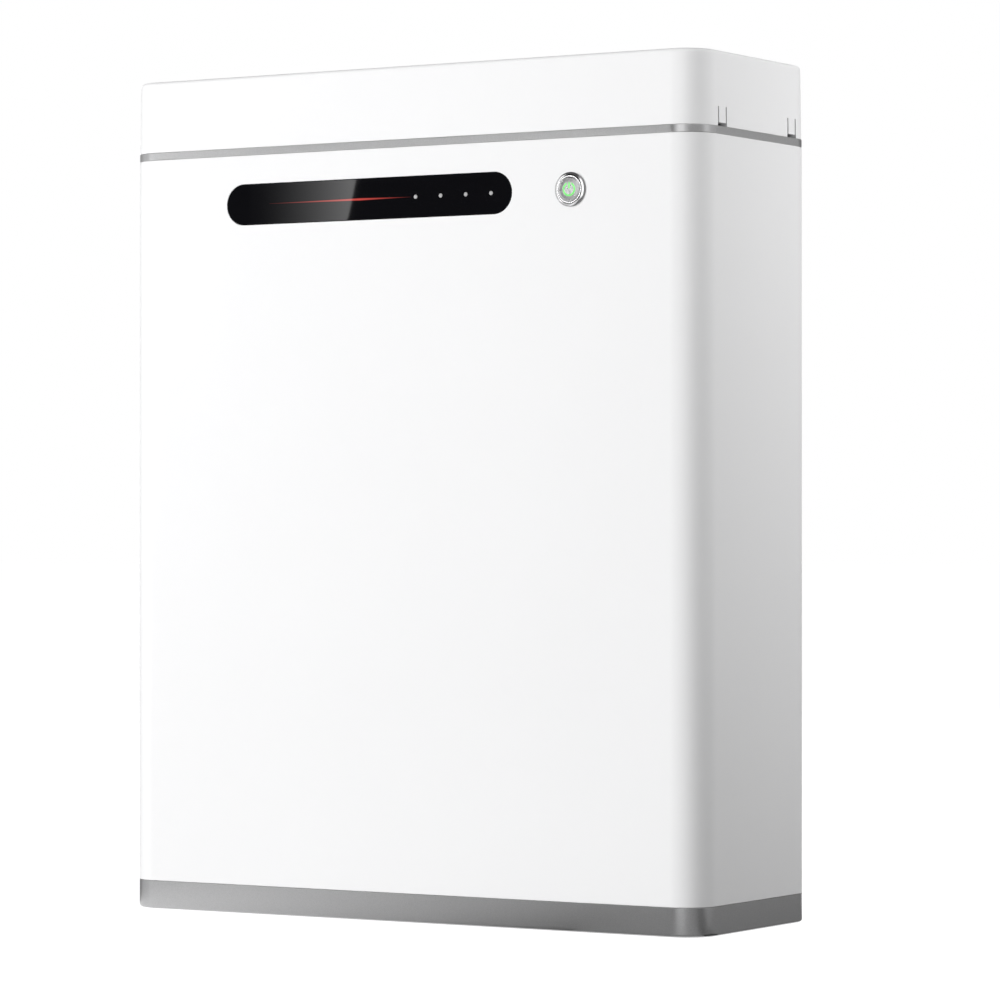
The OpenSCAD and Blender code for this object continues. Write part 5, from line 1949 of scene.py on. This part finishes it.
    def breaker_nose(self) -> None:
        """The breaker: its two half shells meet in a seam, and rivets hold them together."""
        body = softened(Solid().copy_of("breaker_body").made("breaker_shell"), 0.5)
        x, y, _ = self.breaker.middle
        top, sunk = self.breaker.z1, self.breaker.z1 - self.rivet_sunk
        seam, long = self.seam_half, self.rib_long
        tools = Solid().block(x - seam, x + seam, y - 40.0, y + 40.0, top - self.seam_deep, top + 1.0)
        for side in (-1, 1):
            for rivet_x, rivet_y in self.rivet_places(side):
                tools.prism(disc(2.2, 24), sunk, top + 1.0, Matrix.Translation((rivet_x, rivet_y, 0.0)))
            face = x + side * self.breaker.size[0] / 2
            for rib in range(5):
                z = top - self.rib_drop - rib * self.rib_pitch
                tools.block(face - 0.5, face + 0.5, y - long, y + long, z - 0.5, z + 0.5)
        placed(softened(carved(body, tools), 0.0), "breaker_body")
        profile = [(0.0, 0.0), (1.9, 0.0), (1.9, 0.35), (1.5, 0.8), (0.0, 0.95)]
        rivet, steel = Solid().lathe(profile, HERE, 24).made("rivet_unit"), FINISHES["steel"]
        points = [(*place, sunk) for side in (-1, 1) for place in self.rivet_places(side)]
        added(scattered("breaker_rivets", rivet, points, UP, steel), "breaker_body", steel)

    def toggle_grip(self) -> None:
        """The toggle with grip grooves across both of its faces."""
        lever = softened(Solid().copy_of("breaker_toggle").made("toggle_lever"), 0.6)
        x, y, _ = self.breaker.middle
        tilt = Matrix.Rotation(radians(-self.tilt_deg), 4, "X")
        place = Matrix.Translation((x, y, self.pivot_z)) @ tilt
        tools = Solid()
        for side in (-1, 1):
            inner, outer = self.toggle_half - self.grip_deep, self.toggle_half + 1.0
            low, high = sorted((side * inner, side * outer))
            outline = [(-14.0, low), (14.0, low), (14.0, high), (-14.0, high)]
            for groove in range(5):
                reach = self.grip_start + groove * self.grip_pitch
                tools.prism(outline, reach - self.grip_half, reach + self.grip_half, place)
        placed(softened(carved(lever, tools), 0.0), "breaker_toggle")

    def socket_row(self) -> None:
        """The network sockets: shielded shells, each with a comb of eight sprung contacts."""
        refined(0.35, "comms_ports")
        path, half = [(0.0, 0.0), (0.0, 1.2), (-2.2, 8.6), (-1.9, 9.2), (-0.2, 9.6)], self.wire_half
        square = ((-half, -half), (half, -half), (half, half), (-half, half))
        rings = [[Vector((px, y + py, z)) for px, py in square] for y, z in path]
        wire = softened(Solid().loft(rings).made("contact_unit"), 0.0)
        x, y, _ = self.ports.middle
        low = self.ports.z1 - self.contact_down
        points = [
            (x + port * self.port_pitch + place * self.contact_pitch, y + self.contact_in, low)
            for port in evenly(4, 1.5) for place in evenly(8, 3.5)
        ]
        gold = FINISHES["brass"]
        added(scattered("socket_contacts", wire, points, UP, gold, free=0.0), "comms_ports", gold)

    def build(self) -> None:
        """Builds what lies under the lid."""
        refined(0.3, "terminal_deck", "lid_catches", "breaker_stand")
        self.insulator("positive_insulator", self.plus)
        self.insulator("negative_insulator", self.minus)
        self.stud_rows()
        self.nut_rows()
        self.breaker_nose()
        self.toggle_grip()
        self.socket_row()
        refined(0.0, "positive_lead", "negative_lead", "negative_cable", "bms_cable")


# ---- Wall mount ----


@dataclass
class WallMount:
    """The hooked rail on the case, the bracket on the wall, and the rubber spacers."""

    rail: Span = Span.of("hanger_rail")
    screws: Span = Span.of("rail_screws")
    spacers: Span = Span.of("wall_spacers")
    sheet: float = 2.0
    head_r: float = 5.2
    head_h: float = 3.3
    spacer_w: float = 40.0
    groove_pitch: float = 9.0
    groove_deep: float = 1.5
    columns: int = 4

    def rail_screws(self) -> None:
        """The rail's pan-headed screws, in two rows."""
        half = self.screws.size[0] / 2 - self.head_r
        rows = (self.screws.z0 + self.head_r, self.screws.z1 - self.head_r)
        points = [(x, self.rail.y0 + self.sheet, z) for x in evenly(self.columns, half) for z in rows]
        screw = Fastener(self.head_r, self.head_h, 3.0, 7.5, Drive.HEX)
        screw.fitted("hanger_screws", "rail_screws", points, TO_REAR)

    def rubber_blocks(self) -> None:
        """The spacers: rubber blocks with round edges and three grooves across the wall side."""
        box, blocks, grooves = self.spacers, Solid(), Solid()
        _, deep, high = box.size
        for side in (-1, 1):
            x = side * (box.x1 - self.spacer_w / 2)
            place = facing(x, box.y0, box.middle[2], Side.REAR)
            blocks.prism(rounded(self.spacer_w / 2, high / 2, 3.0, 8), 0.0, deep, place)
            for shift in (-self.groove_pitch, 0.0, self.groove_pitch):
                spot = place @ Matrix.Translation((shift, 0, 0))
                grooves.prism(rounded(1.2, 7.0, 1.19, 6), deep - self.groove_deep, deep + 1.0, spot)
        placed(softened(carved(blocks.made("rubber_spacers"), grooves), 0.5), "wall_spacers")

    def build(self) -> None:
        """Builds the mount."""
        refined(0.5, "hanger_rail", "wall_bracket")
        self.rail_screws()
        self.rubber_blocks()


# ---- Battery module and electronics ----


@dataclass
class BatteryModule:
    """Sixteen wrapped cells between end plates, with their links, sheets and pads."""

    cells: Span = Span.of("battery_cells")
    columns: int = 8
    rows: int = 2
    vent_r: float = 6.0

    def vents(self) -> None:
        """The round safety vents, midway between each cell's terminals."""
        r = self.vent_r
        profile = [(0.0, -0.3), (r, -0.3), (r, 0.35), (r - 0.5, 0.6), (r - 1.4, 0.6)]
        profile += [(r - 1.8, 0.25), (0.0, 0.25)]
        unit = softened(Solid().lathe(profile, HERE, 40).made("vent_unit"), 0.0)
        width, _, height = self.cells.size
        wide, high = width / self.columns, height / self.rows
        points = [
            (self.cells.x0 + wide * (column + 0.5), self.cells.y0, self.cells.z0 + high * (row + 0.5))
            for column in range(self.columns) for row in range(self.rows)
        ]
        bare = FINISHES["bare_aluminium"]
        added(scattered("cell_vents", unit, points, TO_FRONT, bare), "battery_cells", bare)

    def build(self) -> None:
        """Dresses the module."""
        refined(1.2, "battery_cells", segments=3)
        refined(0.25, "cell_terminals", "cell_busbars", "pack_busbars", "busbar_cover")
        refined(0.5, "end_plates")
        refined(0.2, "cell_spacers", "cell_pads")
        refined(0.0, "module_screws")
        self.vents()


@dataclass
class Electronics:
    """The management board on its shelf, with its switches, heatsink, plugs and harness."""

    board: Span = Span.of("bms_board")
    sink: Span = Span.of("bms_heatsink")
    comms: Span = Span.of("comms_board")
    part_h: float = 1.2
    least: Point2 = (1.4, 0.8)
    most: Point2 = (4.6, 3.2)
    bare_share: float = 0.3
    grid: float = 6.5

    def populated(self, node: str, x: Point2, y: Point2, z: float, seed: int) -> None:
        """Small parts on a board: blocks of uneven size on a grid, with some places left bare.

        Args:
            node: The board.
            x: The first and last place along X.
            y: The first and last place along Y.
            z: The board's face; the parts stand on it.
            seed: The seed of the sizes and of the bare places.
        """
        tree = Pattern(f"{node}_parts")
        columns, rows = (max(2, int((high - low) / self.grid)) for low, high in (x, y))
        number = tree.whole("Seed", seed)
        sizes = {
            "Size X": tree.length("Field width", x[1] - x[0]),
            "Size Y": tree.length("Field depth", y[1] - y[0]),
            "Vertices X": tree.whole("Columns", columns), "Vertices Y": tree.whole("Rows", rows),
        }
        grid = tree.node("GeometryNodeMeshGrid", {}, sizes)
        chance = {"Probability": tree.size("Bare share", self.bare_share), "Seed": number}
        bare = tree.node("FunctionNodeRandomValue", {"data_type": "BOOLEAN"}, chance)
        chosen = {"Geometry": grid, "Selection": bare}
        places = tree.node("GeometryNodeDeleteGeometry", {"domain": "POINT"}, chosen)
        least, most = ((a * MM, b * MM, self.part_h * MM) for a, b in (self.least, self.most))
        limits = {0: least, 1: most, "Seed": number}
        size = tree.node("FunctionNodeRandomValue", {"data_type": "FLOAT_VECTOR"}, limits)
        unit = tree.node("GeometryNodeMeshCube", {}, {"Size": (1.0, 1.0, 1.0)})
        blocks = tree.copies(places, unit, Scale=size)
        moved = tree.moved(blocks, ((x[0] + x[1]) / 2, (y[0] + y[1]) / 2, z + self.part_h / 2))
        black = FINISHES["chip_black"]
        added(softened(tree.built(moved, black), 0.12, 1), node, black)

    def build(self) -> None:
        """Dresses the electronics."""
        refined(0.3, "bms_shelf", "bms_heatsink", "bms_mosfets", "bms_connectors", "comms_board")
        refined(0.15, "bms_board")
        refined(0.0, "bms_standoffs", "sense_harness")
        board, comms = self.board, self.comms
        self.populated("bms_board", (-44.0, 144.0), (board.y0 + 14.0, self.sink.y0 - 8.0), board.z1, 7)
        self.populated("comms_board", (comms.x0 + 4.0, comms.x1 - 4.0), (comms.y0 + 3.0, -15.5), comms.z1, 3)


# ---- Studio ----

WHITE: Colour = (1.0, 1.0, 1.0)


@dataclass(frozen=True)
class Softbox:
    """A rectangular lamp, aimed at a point; lengths in metres."""

    name: str
    place: Point3
    width: float
    height: float
    power: float
    aim: Point3 = (0.0, 0.0, 0.3)

    def built(self) -> Object:
        """Adds the lamp to the scene; the cards take its place in reflections.

        Returns:
            The lamp.
        """
        lamp = bpy.data.lights.new(self.name, "AREA")
        lamp.shape, lamp.size, lamp.size_y, lamp.energy = "RECTANGLE", self.width, self.height, self.power
        obj = linked(self.name, lamp)
        obj.location = self.place
        direction = Vector(self.aim) - Vector(self.place)
        obj.rotation_euler = direction.to_track_quat("-Z", "Y").to_euler()
        obj.visible_glossy = False
        return obj


@dataclass(frozen=True)
class Card:
    """A glowing or dark sheet that shows only in gloss; its corners are in metres, in order.

    The glow goes from the first value of glow to the second between the two values of fade, which
    are places along X; bend is 1 for an even change, and more for a late one.
    """

    name: str
    corners: tuple[Point3, ...]
    glow: tuple[float, float]
    fade: tuple[float, float] = (0.0, 1.0)
    bend: float = 1.0

    def built(self) -> Object:
        """Adds the card to the scene.

        Returns:
            The card.
        """
        mesh = bpy.data.meshes.new(self.name)
        mesh.from_pydata([Vector(corner) for corner in self.corners], [], [tuple(range(len(self.corners)))])
        obj, recipe = linked(self.name, mesh), Recipe(self.name)
        (start, end), (low, high) = self.fade, self.glow
        share = ((recipe.axis("X") - start) / (end - start)).clamped() ** self.bend
        strength = share * (high - low) + low
        light = recipe.node("ShaderNodeEmission", {}, {"Color": WHITE, "Strength": strength})
        recipe.node("ShaderNodeOutputMaterial", {}, {"Surface": light})
        mesh.materials.append(recipe.material)
        obj.visible_camera = obj.visible_diffuse = obj.visible_shadow = obj.visible_volume_scatter = False
        return obj


def sheet(x0: float, x1: float, y: float, z0: float, z1: float, lean: float = 0.0) -> tuple[Point3, ...]:
    """The corners of an upright sheet across Y, whose right edge leans by lean from bottom to top."""
    return (x0, y, z0), (x1, y, z0), (x1 + lean, y, z1), (x0, y, z1)


def panel(start_deg: float, end_deg: float, reach: float = 1.8, high: float = 1.5) -> tuple[Point3, ...]:
    """The corners of a panel between two bearings about the unit; 0 is its front, 90 its right.

    Args:
        start_deg: The bearing of its first edge.
        end_deg: The bearing of its last edge.
        reach: Its distance from the unit's middle, in metres.
        high: Its height.

    Returns:
        The corners.
    """
    bearings = (radians(start_deg), radians(end_deg))
    (x0, y0), (x1, y1) = ((reach * sin(a), -reach * cos(a)) for a in bearings)
    return (x0, y0, -0.001), (x1, y1, -0.001), (x1, y1, high), (x0, y0, high)


def level(x0: float, x1: float, y0: float = -1.5, y1: float = -0.06, z: float = 8e-4) -> tuple[Point3, ...]:
    """The corners of a level sheet; unless told otherwise it lies on the floor in front of the unit."""
    return (x0, y0, z), (x1, y0, z), (x1, y1, z), (x0, y1, z)


def fan(start_deg: float, end_deg: float, reach: float, near: float = 0.0) -> tuple[Point3, ...]:
    """The corners of a flat fan on the floor, about the case's front right corner.

    Args:
        start_deg: The bearing of its first side: 0 faces the front, 90 the right.
        end_deg: The bearing of its last side.
        reach: How far out it goes, in metres.
        near: How far out it starts.

    Returns:
        The corners.
    """
    centre, corners = Vector((0.2005, -0.0599, 0.0008)), []
    for bearing, distance in ((start_deg, near), (start_deg, reach), (end_deg, reach), (end_deg, near)):
        a = radians(bearing)
        corners.append(tuple(centre + distance * Vector((sin(a), -cos(a), 0.0))))
    return tuple(corners)


@dataclass(frozen=True)
class Studio:
    """A white sweep, soft lamps, cards for the gloss, and the camera."""

    camera_place: Point3 = (1.5277, -2.44725, 0.25744)
    turn_deg: float = 31.55
    tilt_deg: float = 0.374
    lens: float = 155.07
    sensor: float = 36.0
    ambient: float = 0.2
    floor_matt: float = 0.3
    floor_white: float = 0.95
    lamps: tuple[Softbox, ...] = (
        Softbox("key_left", (-1.712, -3.231, 0.559), 2.53, 1.02, 132.8),
        Softbox("side_near", (0.614, 0.213, 0.577), 0.8, 0.76, 3.08),
        Softbox("fill_right", (1.56, -2.094, 2.173), 1.64, 0.9, 7.1),
        Softbox("rear", (-0.8, 2.8, 1.4), 1.6, 1.6, 10.0),
        Softbox("top", (0.0, 0.0, 2.4), 0.4, 0.14, 2.5),
    )
    cards: tuple[Card, ...] = (
        Card("back_left", panel(-180.0, -90.0), (0.35, 0.35)),
        Card("far_left", panel(-90.0, -50.0), (0.7, 0.7)),
        Card("left_strip", panel(-50.0, -39.5), (2.0, 2.0)),
        Card("front_flag", panel(-39.5, 0.0), (0.0, 0.0)),
        Card("front_right", panel(0.0, 30.0), (1.5, 1.5)),
        Card("right", panel(30.0, 90.0), (0.363, 0.363)),
        Card("right_strip", panel(90.0, 105.0), (1.1, 1.1)),
        Card("back_right", panel(105.0, 150.0), (0.464, 0.464)),
        Card("back_flag", panel(150.0, 180.0), (0.1, 0.1)),
        Card(
            "window_strip", sheet(-0.969, -0.862, -1.3, 0.52, 0.66, 0.0345),
            (0.03, 3.08), (-0.969, -0.846), 2.0,
        ),
        Card("switch_strip", sheet(-0.64, -0.5, -1.3, 0.5, 0.67), (5.5, 5.5)),
        Card("floor_behind", level(-1.4, -0.203, -0.06, 1.2), (0.2, 0.2)),
        Card("ceiling", level(-1.7, 0.3, -1.7, 1.7, 1.5), (0.1, 0.1)),
        Card("floor_left", level(-1.2, -0.26), (0.63, 0.63)),
        Card("floor_front", level(-0.26, 0.13), (1.3, 0.05), (-0.24, 0.13)),
        Card("floor_glint", level(0.13, 0.2005), (0.22, 0.22)),
        Card("floor_corner", fan(0.0, 60.0, 1.4, 0.005), (0.3, 0.3)),
        Card("floor_flag", fan(60.0, 95.0, 1.4, 0.005), (0.0, 0.0)),
        Card("floor_side", fan(95.0, 178.0, 1.4, 0.005), (0.23, 0.23)),
    )

    def camera(self) -> None:
        """Adds the camera."""
        data = bpy.data.cameras.new("camera")
        data.lens, data.sensor_width = self.lens, self.sensor
        obj = linked("camera", data)
        a, p = radians(self.turn_deg), radians(self.tilt_deg)
        forward = Vector((-sin(a) * cos(p), cos(a) * cos(p), sin(p)))
        obj.location = self.camera_place
        obj.rotation_euler = forward.to_track_quat("-Z", "Y").to_euler()
        bpy.context.scene.camera = obj

    def backdrop(self) -> None:
        """A white world that lights the object dimly, and shows white to the camera and in reflections."""
        world = bpy.data.worlds.new("studio")
        world.use_nodes = True
        bpy.context.scene.world = world
        graph = Graph(world.node_tree)
        strength = self.seen(graph) * (1.0 - self.ambient) + self.ambient
        back = graph.node("ShaderNodeBackground", {}, {"Color": WHITE, "Strength": strength})
        graph.node("ShaderNodeOutputWorld", {}, {"Surface": back})

    @staticmethod
    def seen(graph: Graph) -> Socket:
        """1 for rays from the camera, off gloss or through glass, and 0 for the rest.

        Args:
            graph: The graph that it is used in.

        Returns:
            The mask.
        """
        path = graph.node("ShaderNodeLightPath", output="Is Camera Ray")
        outputs = path.socket.node.outputs
        glossy, through = (Socket(graph, outputs[name]) for name in ("Is Glossy Ray", "Is Transmission Ray"))
        return (path + glossy + through).clamped()

    def floor(self) -> None:
        """A wide white floor that keeps the object's soft shadow."""
        ground = Solid().prism(disc(30000.0, 64), -20.0, 0.0).made("floor")
        material = bpy.data.materials.new("floor_white")
        material.use_nodes = True
        graph = Graph(material.node_tree)
        matt = graph.node("ShaderNodeBsdfDiffuse", {}, {"Color": (self.floor_matt,) * 3})
        glow = self.seen(graph) * self.floor_white
        white = graph.node("ShaderNodeEmission", {}, {"Color": WHITE, "Strength": glow})
        both = graph.node("ShaderNodeAddShader", {}, {0: matt, 1: white})
        graph.node("ShaderNodeOutputMaterial", {}, {"Surface": both})
        ground.data.materials.append(material)

    def build(self) -> None:
        """Sets up the floor, the world, the lamps, the cards and the camera."""
        bpy.context.scene.view_settings.view_transform = "Standard"
        self.floor()
        self.backdrop()
        for item in (*self.lamps, *self.cards):
            item.built()
        self.camera()


def main() -> None:
    """Builds the unit from the case inwards, then the studio."""
    logging.basicConfig(level=logging.INFO, format="%(name)s: %(message)s")
    case = Case()
    case.build()
    Lid(case).build()
    Display(case).build()
    PowerSwitch(case).build()
    TerminalBay().build()
    WallMount().build()
    BatteryModule().build()
    Electronics().build()
    Studio().build()


if __name__ == "__main__":
    main()
